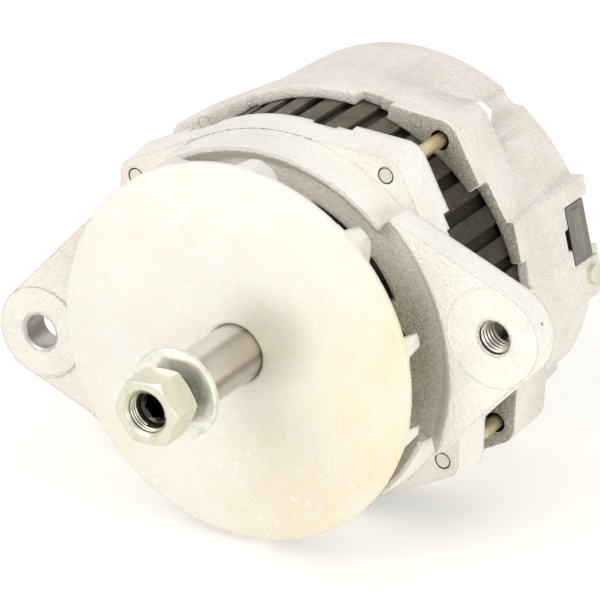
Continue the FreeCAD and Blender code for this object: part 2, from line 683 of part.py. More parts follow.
def rear_frame():
    """Cast rear frame: stator seat, four bolt bosses, end wall with air slots, bearing hub."""
    body = new_body("rear_frame")
    edge = S.rear_radius - S.rear_taper
    start = S.rear_lobe_face
    revolve(body, (
        (0, start), (S.rear_radius, start), (edge, S.rear_edge - S.rear_chamfer),
        (edge - S.rear_chamfer, S.rear_edge), (S.rear_hub_radius + S.rear_chamfer, S.rear_edge),
        (S.rear_hub_radius, S.rear_hub_end), (0, S.rear_hub_end),
    ))
    front = sketch(body, "XZ_Plane", start)
    lobed(front, S.rear_radius, S.rear_lobe)
    narrowing = math.tan(math.radians(S.rear_draft.value)) * (S.boss_end - start).value
    round_end = S.rear_radius - narrowing
    for lobe, finish in (
        (S.rear_lobe - narrowing, S.boss_end), (S.boss_foot, S.boss_end + S.boss_slope),
    ):
        rear = sketch(body, "XZ_Plane", finish)
        lobed(rear, round_end, lobe)
        loft(body, front, rear)
        front = sketch(body, "XZ_Plane", finish)
        lobed(front, round_end, lobe)
        round_end = round_end - S.rear_chamfer
    panel = sketch(body, "XZ_Plane", S.rear_edge)
    rectangle(panel, S.panel_root, S.panel_face, -S.panel_low, S.panel_top)
    pad(body, panel, S.rear_edge - start - S.rear_rim)
    pilot = S.core_radius + S.core_seat
    core_rear = S.core_front + S.core_length
    floor = S.rear_edge - S.rear_wall
    inner = edge - S.rear_wall
    bore = S.journal_shell + S.screw_fit
    hub_front = S.needle_front - S.sleeve_end
    before = start - S.overrun
    needle_rear = S.needle_front + S.needle_length
    revolve(body, (
        (0, before), (pilot, before), (pilot, core_rear), (inner, core_rear), (inner, floor),
        (S.rear_hub_radius, floor), (S.rear_hub_radius, hub_front), (bore, hub_front),
        (bore, needle_rear), (0, needle_rear),
    ), cut=True)
    for sides, depth, near, far in (
        (EAR_SIDES, S.rear_rim, S.rear_half_notch, S.rear_half_rim),
        (EAR_SIDES, S.rear_notch, -S.rear_half_notch, S.rear_half_notch),
        (OPEN_SIDES, S.rear_step_far, S.rear_half_low, S.rear_half_far),
        (OPEN_SIDES, S.rear_step_low, S.rear_half_mid, S.rear_half_low),
    ):
        rim_steps(body, sides, both_sides(near, far), before, start + depth)
    bores = sketch(body, "XZ_Plane", before)
    for across, along in bolt_spots():
        circle(bores, across, along, S.bolt_hole)
    pocket(body, bores, S.boss_end - start + S.overrun * 2)
    scallops = sketch(body, "XZ_Plane", S.boss_end)
    for across, along in bolt_spots():
        circle(scallops, across, along, S.wrench_radius)
    pocket(body, scallops, S.rear_edge - S.boss_end + S.overrun)
    slots = sketch(body, "XZ_Plane", floor - S.overrun)
    for index in range(int(S.rear_vent_count.value)):
        middle = (index + 0.5) * 360 / S.rear_vent_count.value
        half = S.rear_vent_angle.value / 2
        if abs(middle - S.stud_turn.value) < S.stud_land.value:
            continue
        sector(slots, S.rear_vent_inner.value, S.rear_vent_outer.value, middle - half, middle + half)
    pocket(body, slots, S.rear_wall + S.overrun * 2)
    for station, low, high in (
        (S.window_front, -S.window_low, S.window_top),
        (S.window_front - S.window_slot, -S.slot_low, S.slot_top),
    ):
        window = sketch(body, "XZ_Plane", station)
        rectangle(window, S.rear_vent_outer + S.overrun, S.panel_face + S.overrun, low, high)
        pocket(body, window, S.rear_edge - station + S.overrun)
    stud = sketch(body, "XZ_Plane", floor - S.overrun)
    circle(stud, *stud_spot(), S.insulator_radius + S.screw_fit)
    pocket(body, stud, S.rear_wall + S.overrun * 2)
    tapped = sketch(body, "YZ_Plane", -(S.panel_face + S.overrun))
    circle(tapped, S.screw_station, -S.screw_drop, S.ground_screw + S.screw_fit)
    pocket(body, tapped, S.screw_length + S.overrun * 2)


def stud_spot():
    """Output stud, from the shaft's axis."""
    return (S.stud_circle * cosine(S.stud_turn), S.stud_circle * sine(S.stud_turn))


def fan():
    """Cast fan: flat disc with a hub and eleven backward-leaning blades on its rear face."""
    body = new_body("fan")
    bore = S.seat_radius + S.run_fit
    revolve(body, (
        (bore + S.fan_mouth, 0), (S.fan_radius, 0), (S.fan_radius, S.disc_thick),
        (S.fan_hub_radius + S.fan_hub_foot, S.disc_thick),
        (S.fan_hub_radius, S.disc_thick + S.fan_hub_foot),
        (S.fan_hub_radius, S.disc_thick + S.fan_hub_depth), (bore, S.disc_thick + S.fan_hub_depth),
        (bore, S.fan_mouth),
    ))
    turn = S.first_blade.value
    for step in BLADE_STEPS:
        root = sketch(body, "XZ_Plane", S.disc_thick)
        blade_outline(root, turn, S.blade_thick.value + S.blade_foot.value)
        tip = sketch(body, "XZ_Plane", S.disc_thick + S.blade_depth)
        blade_outline(tip, turn, S.blade_thick.value)
        loft(body, root, tip)
        turn -= step
    rear = S.disc_thick + S.blade_depth
    beyond = S.fan_radius + S.overrun
    revolve(body, (
        (beyond, rear + S.overrun), (S.fan_radius - S.blade_corner, rear + S.overrun),
        (S.fan_radius - S.blade_corner, rear), (S.fan_radius, rear - S.blade_corner),
        (beyond, rear - S.blade_corner),
    ), cut=True)


# Steps from one blade to the next in degrees, clockwise seen from the nose. They are
# uneven on purpose, which spreads the pitch of the fan's noise.
BLADE_STEPS = (38.5, 34.5, 28.5, 33.5, 37.0, 30.0, 34.0, 28.0, 36.0, 31.0, 29.0)


def blade_outline(drawing, turn, thick):
    """Draw one blade: two flanks bowed about one centre, between the rim and the inner end."""
    rim = S.fan_radius.value
    bow = S.blade_bow.value
    lean = math.radians(S.blade_lean.value)
    toward = Vector(rim - bow * math.sin(lean), bow * math.cos(lean), 0)
    centre = at_angle(toward.Length, turn + math.degrees(math.atan2(toward.y, toward.x)))
    bearing = math.degrees(math.atan2(centre.y, centre.x))
    corners = []
    for reach in (rim, S.blade_inner.value):
        for flank in (bow - thick / 2, bow + thick / 2):
            share = (reach ** 2 + centre.Length ** 2 - flank ** 2) / (2 * reach * centre.Length)
            corners.append(at_angle(reach, bearing - math.degrees(math.acos(share))))
    origin = Vector(0, 0, 0)
    drawing.addGeometry([
        arc_about(origin, corners[0], corners[1]),
        arc_about(centre, corners[1], corners[3]),
        arc_about(origin, corners[3], corners[2]),
        arc_about(centre, corners[2], corners[0]),
    ], False)


def rotor_shaft():
    """Forged shaft: threaded nose with a hexagon socket, pulley seat, bearing seats, journals."""
    body = new_body("rotor_shaft")
    washer_front = -S.seat_length - S.washer_thick
    nose = washer_front - S.nut_gap - S.nut_height + S.nut_recess
    race_rear = S.race_front + S.race_width
    race_seat = S.race_bore - S.screw_fit
    ring_seat = S.ring_radius - S.ring_thick - S.sleeve_thick
    core_rear = S.pole_front + S.pole_length + S.shaft_step
    tail = S.needle_front + S.needle_length - S.journal_short
    revolve(body, (
        (0, nose), (S.thread_radius - S.overrun, nose), (S.thread_radius, nose + S.overrun),
        (S.thread_radius, -S.seat_length), (S.seat_radius - S.edge_break, -S.seat_length),
        (S.seat_radius, S.edge_break - S.seat_length), (S.seat_radius, S.race_front),
        (race_seat, S.race_front), (race_seat, race_rear), (S.core_shaft, race_rear),
        (S.core_shaft, core_rear), (ring_seat, core_rear),
        (ring_seat, S.needle_front - S.shaft_step), (S.rear_journal, S.needle_front - S.shaft_step),
        (S.rear_journal, tail - S.edge_break), (S.rear_journal - S.edge_break, tail), (0, tail),
    ))
    socket = sketch(body, "XZ_Plane", nose - S.overrun)
    hexagon(socket, ZERO, ZERO, S.socket_flats)
    pocket(body, socket, S.socket_depth + S.overrun)
    revolve(body, (
        (0, nose - S.overrun), (S.socket_mouth + S.overrun, nose - S.overrun),
        (0, nose + S.socket_mouth),
    ), cut=True)


def shaft_washer():
    """Heavy flat washer against the end of the pulley seat."""
    body = new_body("shaft_washer")
    rear = -S.seat_length
    front = rear - S.washer_thick
    hole = S.thread_radius + S.run_fit
    rim = S.washer_radius - S.edge_break
    revolve(body, (
        (hole, front), (rim, front), (S.washer_radius, front + S.edge_break),
        (S.washer_radius, rear - S.edge_break), (rim, rear), (hole, rear),
    ))


def shaft_nut():
    """Hexagon nut with turned corners at both faces."""
    body = new_body("shaft_nut")
    rear = -S.seat_length - S.washer_thick - S.nut_gap
    front = rear - S.nut_height
    block = sketch(body, "XZ_Plane", rear)
    hexagon(block, ZERO, ZERO, S.nut_flats, S.nut_turn.value)
    pad(body, block, S.nut_height)
    doc.recompute()
    hole = sketch(body, "XZ_Plane", front - S.overrun)
    circle(hole, ZERO, ZERO, S.thread_radius + S.screw_fit)
    pocket(body, hole, S.nut_height + S.overrun * 2)
    flat = S.nut_flats / 2
    corner = flat + S.nut_round * math.sqrt(3)
    for face, away in ((front, -1), (rear, 1)):
        beyond = face + away * S.overrun
        revolve(body, (
            (flat, face), (corner, face - away * S.nut_round), (corner, beyond), (flat, beyond),
        ), cut=True)
    inner = S.thread_radius - S.overrun
    mouth = S.thread_radius + S.nut_mouth
    revolve(body, (
        (inner, front - S.overrun), (mouth, front - S.overrun), (mouth, front),
        (S.thread_radius, front + S.nut_mouth), (inner, front + S.nut_mouth),
    ), cut=True)


def ring_part(label, inner, outer, front, rear):
    """Plain turned ring."""
    body = new_body(label)
    revolve(body, ((inner, front), (outer, front), (outer, rear), (inner, rear)))
    return body


def ear_bushing():
    """Steel bushing pressed into the plain ear, flared at its mouth."""
    front = S.ear_face
    rear = front + S.ear_thick
    spot = (-S.ear_span, ZERO)
    sleeve = rod(S.bushing_outer, front, rear, *spot)
    bore = rod(S.bushing_bore, front - S.overrun, rear + S.overrun, *spot)
    flare = doc.addObject("Part::Cone", "flare")
    flare.Placement.Rotation = Rotation(Vector(1, 0, 0), -90)
    for path, size in (
        ("Radius1", S.bushing_bore + S.bushing_lip * 2), ("Radius2", S.bushing_bore),
        ("Height", S.bushing_lip * 2), ("Placement.Base.x", -S.ear_span),
        ("Placement.Base.y", front - S.bushing_lip),
    ):
        bind(flare, path, size)
    cut(sleeve, [bore, flare], "ear_bushing")


def front_bearing():
    """Sealed ball bearing that carries the belt load: two races and a seal at each face."""
    rear = S.race_front + S.race_width
    outer_bore = S.race_outer - S.race_wall
    inner_top = S.race_bore + S.race_wall
    ring_part("front_bearing_outer_race", outer_bore, S.race_outer, S.race_front, rear)
    ring_part("front_bearing_inner_race", S.race_bore, inner_top, S.race_front, rear)
    seals = new_body("front_bearing_seals")
    for station in (S.race_front + S.seal_depth + S.seal_thick, rear - S.seal_depth):
        disc = sketch(seals, "XZ_Plane", station)
        circle(disc, ZERO, ZERO, outer_bore - S.screw_fit)
        circle(disc, ZERO, ZERO, inner_top + S.run_fit)
        pad(seals, disc, S.seal_thick)


def group(label, items, lean=ZERO):
    """Join separate solids of one kind in one sub-part."""
    joined = doc.addObject("Part::Compound", label)
    joined.Links = items
    return settle(joined, label, lean)


def bearing_retainer():
    """Plate that keeps the front bearing in its hub, with its three screws."""
    rear = S.race_front + S.race_width
    body = new_body("bearing_retainer")
    plate = sketch(body, "XZ_Plane", rear + S.retainer_thick)
    circle(plate, ZERO, ZERO, S.hub_radius)
    circle(plate, ZERO, ZERO, S.race_outer - S.hub_lip)
    pad(body, plate, S.retainer_thick)
    holes = sketch(body, "XZ_Plane", rear - S.overrun)
    for across, along in retainer_spots():
        circle(holes, across, along, S.retainer_screw + S.screw_fit)
    pocket(body, holes, S.retainer_thick + S.overrun * 2)
    screws = new_body("retainer_screws")
    heads = sketch(screws, "XZ_Plane", rear + S.retainer_thick + S.retainer_head)
    shanks = sketch(screws, "XZ_Plane", rear + S.retainer_thick)
    for across, along in retainer_spots():
        circle(heads, across, along, S.retainer_screw * S.head_ratio)
        circle(shanks, across, along, S.retainer_screw)
    pad(screws, heads, S.retainer_head)
    pad(screws, shanks, S.screw_length)


def rear_bearing():
    """Drawn cup needle bearing in the rear hub: shell, needles and the rings of their cage."""
    front = S.needle_front
    rear = front + S.needle_length
    circle_radius = S.rear_journal + S.run_fit + S.needle_radius
    race = circle_radius + S.needle_radius + S.run_fit
    ring_part("rear_bearing_shell", race, S.journal_shell, front, rear)
    needles = []
    pitch = 360 / S.needle_count
    for index in range(int(S.needle_count.value)):
        needle = doc.addObject("Part::Cylinder", "needle")
        bind(needle, "Radius", S.needle_radius)
        bind(needle, "Height", S.needle_length - S.needle_short * 2)
        needle.Placement.Rotation = Rotation(Vector(1, 0, 0), -90)
        bind(needle, "Placement.Base.x", circle_radius * cosine(pitch * index))
        bind(needle, "Placement.Base.y", front + S.needle_short)
        bind(needle, "Placement.Base.z", circle_radius * sine(pitch * index))
        needles.append(needle)
    group("rear_bearing_needles", needles)
    cage = new_body("rear_bearing_cage")
    for station in (front + S.needle_short, rear - S.needle_short + S.cage_thick):
        ring = sketch(cage, "XZ_Plane", station)
        circle(ring, ZERO, ZERO, circle_radius + S.cage_half)
        circle(ring, ZERO, ZERO, circle_radius - S.cage_half)
        pad(cage, ring, S.cage_thick)


def stator_core():
    """Laminated stack with grooves round its outside and winding slots in its bore."""
    body = new_body("stator_core")
    outline = sketch(body, "XZ_Plane", S.core_front + S.core_length)
    count = int(S.rib_count.value)
    toothed(outline, count, S.core_radius.value, S.core_radius.value - S.rib_depth.value,
            S.rib_width.value, S.rib_turn.value)
    toothed(outline, count, S.core_bore.value, S.slot_root.value, S.slot_width.value, 0)
    pad(body, outline, S.core_length)


def toothed(drawing, count, land, root, width, turn):
    """Draw a round outline with evenly spaced slots of parallel sides, from a land to a root."""
    pitch = 360 / count
    centre = Vector(0, 0, 0)
    half_land = math.degrees(math.asin(width / 2 / land))
    half_root = math.degrees(math.asin(width / 2 / root))
    edges = []
    for index in range(count):
        middle = turn + index * pitch
        first = at_angle(land, middle - half_land)
        down = at_angle(root, middle - half_root)
        up = at_angle(root, middle + half_root)
        last = at_angle(land, middle + half_land)
        following = at_angle(land, middle + pitch - half_land)
        edges.append(Part.LineSegment(first, down))
        edges.append(Part.LineSegment(down, up))
        edges.append(Part.LineSegment(up, last))
        edges.append(arc_about(centre, last, following))
    drawing.addGeometry(edges, False)


def stator_windings():
    """Wound coils: two crowns of end turns joined by the bars in the core's slots."""
    body = new_body("stator_windings")
    core_rear = S.core_front + S.core_length
    for near, far in ((S.core_front, S.core_front - S.turn_front), (core_rear, core_rear + S.turn_rear)):
        corners = (
            (S.turn_inner, near), (S.turn_inner + S.turn_slope, far),
            (S.turn_outer - S.turn_slope, far), (S.turn_outer, near),
        )
        if near is S.core_front:
            revolve(body, corners)
            bars = sketch(body, "XZ_Plane", core_rear)
            count = int(S.rib_count.value)
            for index in range(count):
                slot_bar(bars, index * 360 / count)
            pad(body, bars, S.core_length)
        else:
            revolve(body, corners)


def slot_bar(drawing, turn):
    """Draw the copper in one slot, clear of the slot's walls."""
    half = S.slot_width.value / 2 - S.slot_paper.value
    low = S.turn_inner.value + S.slot_paper.value * 3
    high = S.slot_root.value - S.slot_paper.value
    spots = [(low, -half), (high, -half), (high, half), (low, half)]
    turned = [Rotation(Vector(0, 0, 1), turn).multVec(Vector(*spot, 0)) for spot in spots]
    drawing.addGeometry([Part.LineSegment(turned[step - 1], turned[step]) for step in range(4)], False)


def through_bolts():
    """Four long bolts from the rear bosses into the drive end frame."""
    body = new_body("through_bolts")
    shanks = sketch(body, "XZ_Plane", S.boss_end)
    heads = sketch(body, "XZ_Plane", S.boss_end + S.bolt_head)
    flanges = sketch(body, "XZ_Plane", S.boss_end + S.bolt_flange)
    for across, along in bolt_spots():
        circle(shanks, across, along, S.bolt_radius)
        circle(flanges, across, along, S.bolt_flats / 2 + S.bolt_flange)
        hexagon(heads, across, along, S.bolt_flats, S.bolt_turn.value)
    pad(body, shanks, S.boss_end - S.lobe_face)
    pad(body, flanges, S.bolt_flange)
    pad(body, heads, S.bolt_head - S.bolt_flange)


# Claws of each pole; the two poles' claws stand alternately round the rotor.
CLAWS = 6


def pole(label, front, toward, turn):
    """Forged claw pole: hub and end plate with six tapering claws over the field coil."""
    body = new_body(label)
    bore = S.core_shaft + S.screw_fit
    plate = front + toward * S.pole_plate
    middle = front + toward * S.pole_length / 2
    hub = S.coil_inner - S.coil_gap
    revolve(body, (
        (bore, front), (S.pole_root - S.pole_break, front), (S.pole_root, front + toward * S.pole_break),
        (S.pole_root, plate), (hub, plate), (hub, middle), (bore, middle),
    ))
    far = front + toward * (S.pole_length - S.claw_short)
    inner = S.pole_radius - S.claw_thick
    tip = S.pole_radius - S.claw_thick / 3
    claws = []
    for near, near_width, near_inner, away, away_width, away_inner in (
        (front, S.claw_root, inner - S.claw_flare, plate, S.claw_root, inner),
        (plate, S.claw_root, inner, far, S.claw_tip, tip),
    ):
        first = sketch(body, "XZ_Plane", near)
        claw_section(first, near_width, near_inner, turn)
        second = sketch(body, "XZ_Plane", away)
        claw_section(second, away_width, away_inner, turn)
        claws.append(loft(body, first, second))
    doc.recompute()
    pattern = body.newObject("PartDesign::PolarPattern", f"{label}_claws")
    pattern.Originals = claws
    pattern.Axis = (body.Group[0], ["V_Axis"])
    pattern.Angle = 360
    pattern.Occurrences = CLAWS
    body.Tip = pattern
    low, high = (front, far) if toward > 0 else (far, front)
    outer = S.pole_radius + S.claw_spare * 2
    low = low - S.overrun
    high = high + S.overrun
    revolve(body, (
        (S.pole_radius, low), (outer, low), (outer, high), (S.pole_radius, high),
    ), cut=True)


def claw_section(drawing, width, inner, turn):
    """Draw the block that a claw is turned from, out past the rotor's round."""
    outer = S.pole_radius + S.claw_spare
    half = width / 2
    polygon(drawing, [
        (along * cosine(turn) - side * sine(turn), along * sine(turn) + side * cosine(turn))
        for along, side in ((inner, -half), (outer, -half), (outer, half), (inner, half))
    ])


def block(left, right, front, rear, low, high):
    """Plain block between six limits."""
    item = doc.addObject("Part::Box", "block")
    for path, size in (
        ("Length", right - left), ("Width", rear - front), ("Height", high - low),
        ("Placement.Base.x", left), ("Placement.Base.y", front), ("Placement.Base.z", low),
    ):
        bind(item, path, size)
    return item


def rod(radius, front, rear, across=ZERO, up=ZERO):
    """Round bar along the shaft's direction."""
    item = doc.addObject("Part::Cylinder", "rod")
    item.Placement.Rotation = Rotation(Vector(1, 0, 0), -90)
    for path, size in (
        ("Radius", radius), ("Height", rear - front),
        ("Placement.Base.x", across), ("Placement.Base.y", front), ("Placement.Base.z", up),
    ):
        bind(item, path, size)
    return item


def cut(base, tools, label=None, lean=ZERO):
    """Take the tools away from the base."""
    tool = tools[0]
    if len(tools) > 1:
        tool = doc.addObject("Part::MultiFuse", "tools")
        tool.Shapes = tools
    item = doc.addObject("Part::Cut", label or "cut")
    item.Base = base
    item.Tool = tool
    return settle(item, label, lean) if label else item


def fuse(items, label=None, lean=ZERO):
    """Join overlapping solids to one."""
    item = doc.addObject("Part::MultiFuse", label or "fused")
    item.Shapes = items
    item.Refine = True
    return settle(item, label, lean) if label else item


def slip_rings():
    """Two copper rings on an insulating sleeve."""
    inner = S.ring_radius - S.ring_thick
    ring_end = S.ring_front + S.ring_pitch + S.ring_width
    ring_part("slip_ring_sleeve", inner - S.sleeve_thick + S.screw_fit, inner,
              S.ring_front - S.sleeve_end, ring_end + S.sleeve_end)
    rings = []
    for front in (S.ring_front, S.ring_front + S.ring_pitch):
        rear = front + S.ring_width
        hole = rod(inner, front - S.overrun, rear + S.overrun)
        rings.append(cut(rod(S.ring_radius, front, rear), [hole]))
    group("slip_rings", rings)


def brush_gear():
    """Two sprung carbon brushes in one box, over the slip rings."""
    lean = S.brush_lean
    half = S.brush_width / 2
    gap = S.brush_fit
    foot = S.ring_radius + S.run_fit
    top = foot + S.brush_length
    roof = top + S.brush_travel + S.spring_packed
    over = S.overrun
    cavities = []
    for name, front in (("front", S.ring_front), ("rear", S.ring_front + S.ring_pitch)):
        middle = front + S.ring_width / 2
        near = middle - S.brush_thick / 2
        far = middle + S.brush_thick / 2
        carbon = block(-half, half, near, far, foot - over, top)
        cut(carbon, [rod(foot, near - over, far + over)], f"brush_{name}", lean)
        cavities.append(block(-half - gap, half + gap, near - gap, far + gap, foot - over * 2, roof))
        spring(f"brush_spring_{name}", middle, top, roof, lean)
    side = half + gap + S.box_wall
    lid = roof + S.box_roof
    box_front = S.ring_front - S.box_end
    box_rear = S.ring_front + S.ring_pitch + S.ring_width + S.box_end
    floor = S.rear_edge - S.rear_wall
    shell = block(-side, side, box_front, box_rear, S.ring_radius + S.box_clear, lid)
    post = block(-side, side, box_rear - over, floor, S.rear_vent_inner - S.box_clear, lid)
    cut(fuse([shell, post]), cavities, "brush_holder", lean)


def spring(label, middle, low, high, lean):
    """Coil spring of square wire from a brush to the roof of its box."""
    half = S.spring_wire.value / 2
    radius = S.spring_radius.value - half
    bottom = low.value + half
    height = high.value - low.value - 2 * half
    path = Part.makeHelix(height / S.spring_turns.value, height, radius)
    path.translate(Vector(0, middle.value, bottom))
    corners = [
        Vector(radius + across, middle.value, bottom + up)
        for across, up in ((-half, -half), (half, -half), (half, half), (-half, half), (-half, -half))
    ]
    coil = doc.addObject("Part::Feature", label)
    coil.Shape = Part.Wire(path.Edges).makePipeShell([Part.makePolygon(corners)], True, True)
    settle(coil, label, lean)


def rectifier():
    """Finned heat sink with six pressed diodes, on the inner face of the end wall."""
    floor = S.rear_edge - S.rear_wall
    body = new_body("rectifier_heat_sink")
    front = floor - S.sink_thick
    plate = sketch(body, "XZ_Plane", floor)
    sector(plate, S.sink_inner.value, S.sink_outer.value, S.sink_start.value, S.sink_end.value)
    pad(body, plate, S.sink_thick)
    holes = sketch(body, "XZ_Plane", front - S.overrun)
    for across, along in diode_spots():
        circle(holes, across, along, S.diode_radius + S.screw_fit)
    circle(holes, *stud_spot(), S.stud_radius + S.screw_fit)
    pocket(body, holes, S.sink_thick + S.overrun * 2)
    diodes = []
    face = front - S.diode_proud
    for across, along in diode_spots():
        case = rod(S.diode_radius, face, floor - S.overrun, across, along)
        lead = rod(S.diode_lead, face - S.lead_length, face + S.overrun, across, along)
        diodes.append(fuse([case, lead]))
    group("rectifier_diodes", diodes)


# The heat sink's span is shared out in seven rooms, the middle one for the output stud.
DIODE_ROOMS = 7
DIODE_STEPS = (0.7, 1.7, 2.7, 4.3, 5.3, 6.3)


def diode_spots():
    """Six diodes along the middle of the heat sink, with room for the output stud."""
    radius = (S.sink_inner + S.sink_outer) / 2
    span = (S.sink_end - S.sink_start) / DIODE_ROOMS
    turns = [S.sink_start + span * step for step in DIODE_STEPS]
    return [(radius * cosine(turn), radius * sine(turn)) for turn in turns]


def output_terminal():
    """Output stud through the heat sink and the end wall, its insulator and its nut."""
    floor = S.rear_edge - S.rear_wall
    front = floor - S.sink_thick
    spot = stud_spot()
    stud = new_body("output_stud")
    head = sketch(stud, "XZ_Plane", front)
    hexagon(head, *spot, S.stud_flats)
    pad(stud, head, S.stud_head)
    end = S.rear_edge + S.collar_thick + S.stud_nut + S.stud_length
    thread = sketch(stud, "XZ_Plane", end)
    circle(thread, *spot, S.stud_radius - S.thread_relief)
    pad(stud, thread, S.stud_length)
    shank = sketch(stud, "XZ_Plane", end - S.stud_length)
    circle(shank, *spot, S.stud_radius)
    pad(stud, shank, end - S.stud_length - front)
    insulator = new_body("output_insulator")
    bore = S.stud_radius + S.screw_fit
    collar = S.rear_edge + S.collar_thick
    for station, radius, length in (
        (collar, S.collar_radius, S.collar_thick), (S.rear_edge, S.insulator_radius, S.rear_wall),
    ):
        ring = sketch(insulator, "XZ_Plane", station)
        circle(ring, *spot, radius)
        circle(ring, *spot, bore)
        pad(insulator, ring, length)
    nut = new_body("output_nut")
    hexed = sketch(nut, "XZ_Plane", collar + S.stud_nut)
    hexagon(hexed, *spot, S.stud_flats, S.nut_lean.value)
    circle(hexed, *spot, bore)
    pad(nut, hexed, S.stud_nut)


def regulator():
    """Voltage regulator behind the side window, with its connector plate and terminal."""
    floor = S.rear_edge - S.rear_wall
    gap = S.window_gap
    low = -S.window_low + gap
    high = S.window_top - gap
    front = S.window_front + gap
    rear = floor + gap
    face = S.panel_face - S.plate_sunk
    back = face - S.plate_thick
    group("voltage_regulator", [block(S.regulator_inner, back, front, floor, low, high)])
    plate = block(back, face, front, rear, low, high)
    swelling = doc.addObject("Part::Cylinder", "swelling")
    for path, size in (
        ("Radius", S.plate_swell), ("Height", high - low - S.swell_end * 2),
        ("Placement.Base.x", face + S.swell_rise - S.plate_swell),
        ("Placement.Base.y", (front + rear) / 2), ("Placement.Base.z", low + S.swell_end),
    ):
        bind(swelling, path, size)
    behind = block(back - S.plate_swell * 2, back + S.overrun, front, rear, low, high)
    fuse([plate, cut(swelling, [behind])], "connector_plate")
    outer = S.panel_face - S.swell_rise / 4
    tip = block(outer - S.tip_deep, outer, rear, S.rear_edge - gap, low, low + S.tip_high)
    group("relay_terminal", [tip])
    screw = new_body("ground_screw")
    head = sketch(screw, "YZ_Plane", -S.panel_face)
    circle(head, S.screw_station, -S.screw_drop, S.ground_screw * S.head_ratio)
    raise_head = pad(screw, head, S.ground_head)
    shank = sketch(screw, "YZ_Plane", -S.panel_face)
    circle(shank, S.screw_station, -S.screw_drop, S.ground_screw)
    lower = pad(screw, shank, S.screw_length)
    lower.Reversed = True
    raise_head.Reversed = False


def capacitor():
    """Suppression capacitor that stands on the end wall inside."""
    floor = S.rear_edge - S.rear_wall
    across = S.capacitor_circle * cosine(S.capacitor_turn)
    up = S.capacitor_circle * sine(S.capacitor_turn)
    can = rod(S.capacitor_radius, floor - S.capacitor_length, floor, across, up)
    group("capacitor", [can])


def field_coil():
    """Field winding on its bobbin, between the two poles."""
    middle = S.pole_front + S.pole_length / 2
    half = S.pole_length / 2 - S.pole_plate - S.coil_gap
    ring_part("field_coil", S.coil_inner, S.coil_outer, middle - half, middle + half)


drive_end_frame()
rear_frame()
stator_core()
stator_windings()
through_bolts()
ear_bushing()
bearing_retainer()
front_bearing()
rear_bearing()
rectifier()
output_terminal()
regulator()
capacitor()
rotor_shaft()
fan()
ring_part("fan_collar", S.seat_radius + S.run_fit, S.seat_radius + S.collar_wall,
          S.disc_thick + S.fan_hub_depth, S.race_front)
shaft_washer()
shaft_nut()
pole("front_pole", S.pole_front, 1, 0)
pole("rear_pole", S.pole_front + S.pole_length, -1, 180 / CLAWS)
field_coil()
slip_rings()
brush_gear()

doc.recompute()
for item in doc.Objects:
    if "Invalid" in item.State or "Error" in item.State:
        raise ValueError(f"{item.Label} failed: {item.State}")
for item in NODES:
    if item.Shape.isNull() or not item.Shape.isValid():
        raise ValueError(f"{item.Label} has no valid shape")

os.makedirs("parts", exist_ok=True)
for item in NODES:
    item.Shape.exportStep(f"parts/{item.Label}.step")
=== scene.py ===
"""A heavy-duty alternator on a plain white table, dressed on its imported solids."""

from __future__ import annotations

import logging
import math
from dataclasses import dataclass, replace
from enum import Enum
from functools import cache, cached_property

import bmesh
import bpy
from mathutils import Matrix, Vector
from mathutils.bvhtree import BVHTree
from mathutils.kdtree import KDTree

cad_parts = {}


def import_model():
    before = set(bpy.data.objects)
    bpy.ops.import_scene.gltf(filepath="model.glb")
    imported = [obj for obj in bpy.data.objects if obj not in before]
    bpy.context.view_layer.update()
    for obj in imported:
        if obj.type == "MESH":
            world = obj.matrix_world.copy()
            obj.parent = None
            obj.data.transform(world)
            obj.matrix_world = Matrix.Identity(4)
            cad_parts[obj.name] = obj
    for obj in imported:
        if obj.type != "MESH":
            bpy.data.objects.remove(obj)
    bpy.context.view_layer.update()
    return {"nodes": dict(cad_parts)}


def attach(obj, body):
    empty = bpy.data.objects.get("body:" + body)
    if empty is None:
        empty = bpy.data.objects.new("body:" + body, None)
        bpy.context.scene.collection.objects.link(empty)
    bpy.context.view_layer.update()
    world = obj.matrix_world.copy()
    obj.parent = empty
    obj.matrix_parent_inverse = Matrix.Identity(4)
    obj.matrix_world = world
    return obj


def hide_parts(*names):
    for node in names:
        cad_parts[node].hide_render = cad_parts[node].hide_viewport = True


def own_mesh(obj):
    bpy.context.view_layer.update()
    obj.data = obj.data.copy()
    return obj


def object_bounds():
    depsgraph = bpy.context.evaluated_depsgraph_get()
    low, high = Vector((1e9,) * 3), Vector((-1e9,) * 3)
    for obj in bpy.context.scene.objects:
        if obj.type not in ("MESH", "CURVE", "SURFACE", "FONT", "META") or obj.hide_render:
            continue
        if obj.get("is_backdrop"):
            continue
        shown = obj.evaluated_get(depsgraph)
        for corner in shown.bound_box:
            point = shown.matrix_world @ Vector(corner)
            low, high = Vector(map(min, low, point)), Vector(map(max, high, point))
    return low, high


LOG = logging.getLogger("alternator")
MM = 0.001

Colour = tuple[float, float, float, float]
Pair = tuple[float, float]
Triple = tuple[float, float, float]

WHITE: Colour = (1.0, 1.0, 1.0, 1.0)
SHADOW: Colour = (0.045, 0.042, 0.038, 1.0)
# Painted shade inside the nut: its bore's wall and the turned grooves at its mouth.
NUT_BORE_SHADE: Colour = (0.28, 0.255, 0.19, 1.0)
NOISE_MIDDLE = 0.5
LEAN = 13.4
FAN_FACE = 22.0 * MM
SHAFT_LINE: Pair = (0.0, 0.0)
EAR_LINE: Pair = (97.10 * MM, 23.13 * MM)
BOLT_LINES: tuple[Pair, ...] = (
    (40.80 * MM, 66.32 * MM), (-66.32 * MM, 40.80 * MM),
    (-40.80 * MM, -66.32 * MM), (66.32 * MM, -40.80 * MM),
)


def stand(name: str, data: bpy.types.ID) -> bpy.types.Object:
    """Put a mesh, lamp or camera into the scene as an object at the origin.

    Args:
        name: The object's name.
        data: What it shows.

    Returns:
        The object.
    """
    thing = bpy.data.objects.new(name, data)
    bpy.context.scene.collection.objects.link(thing)
    return thing


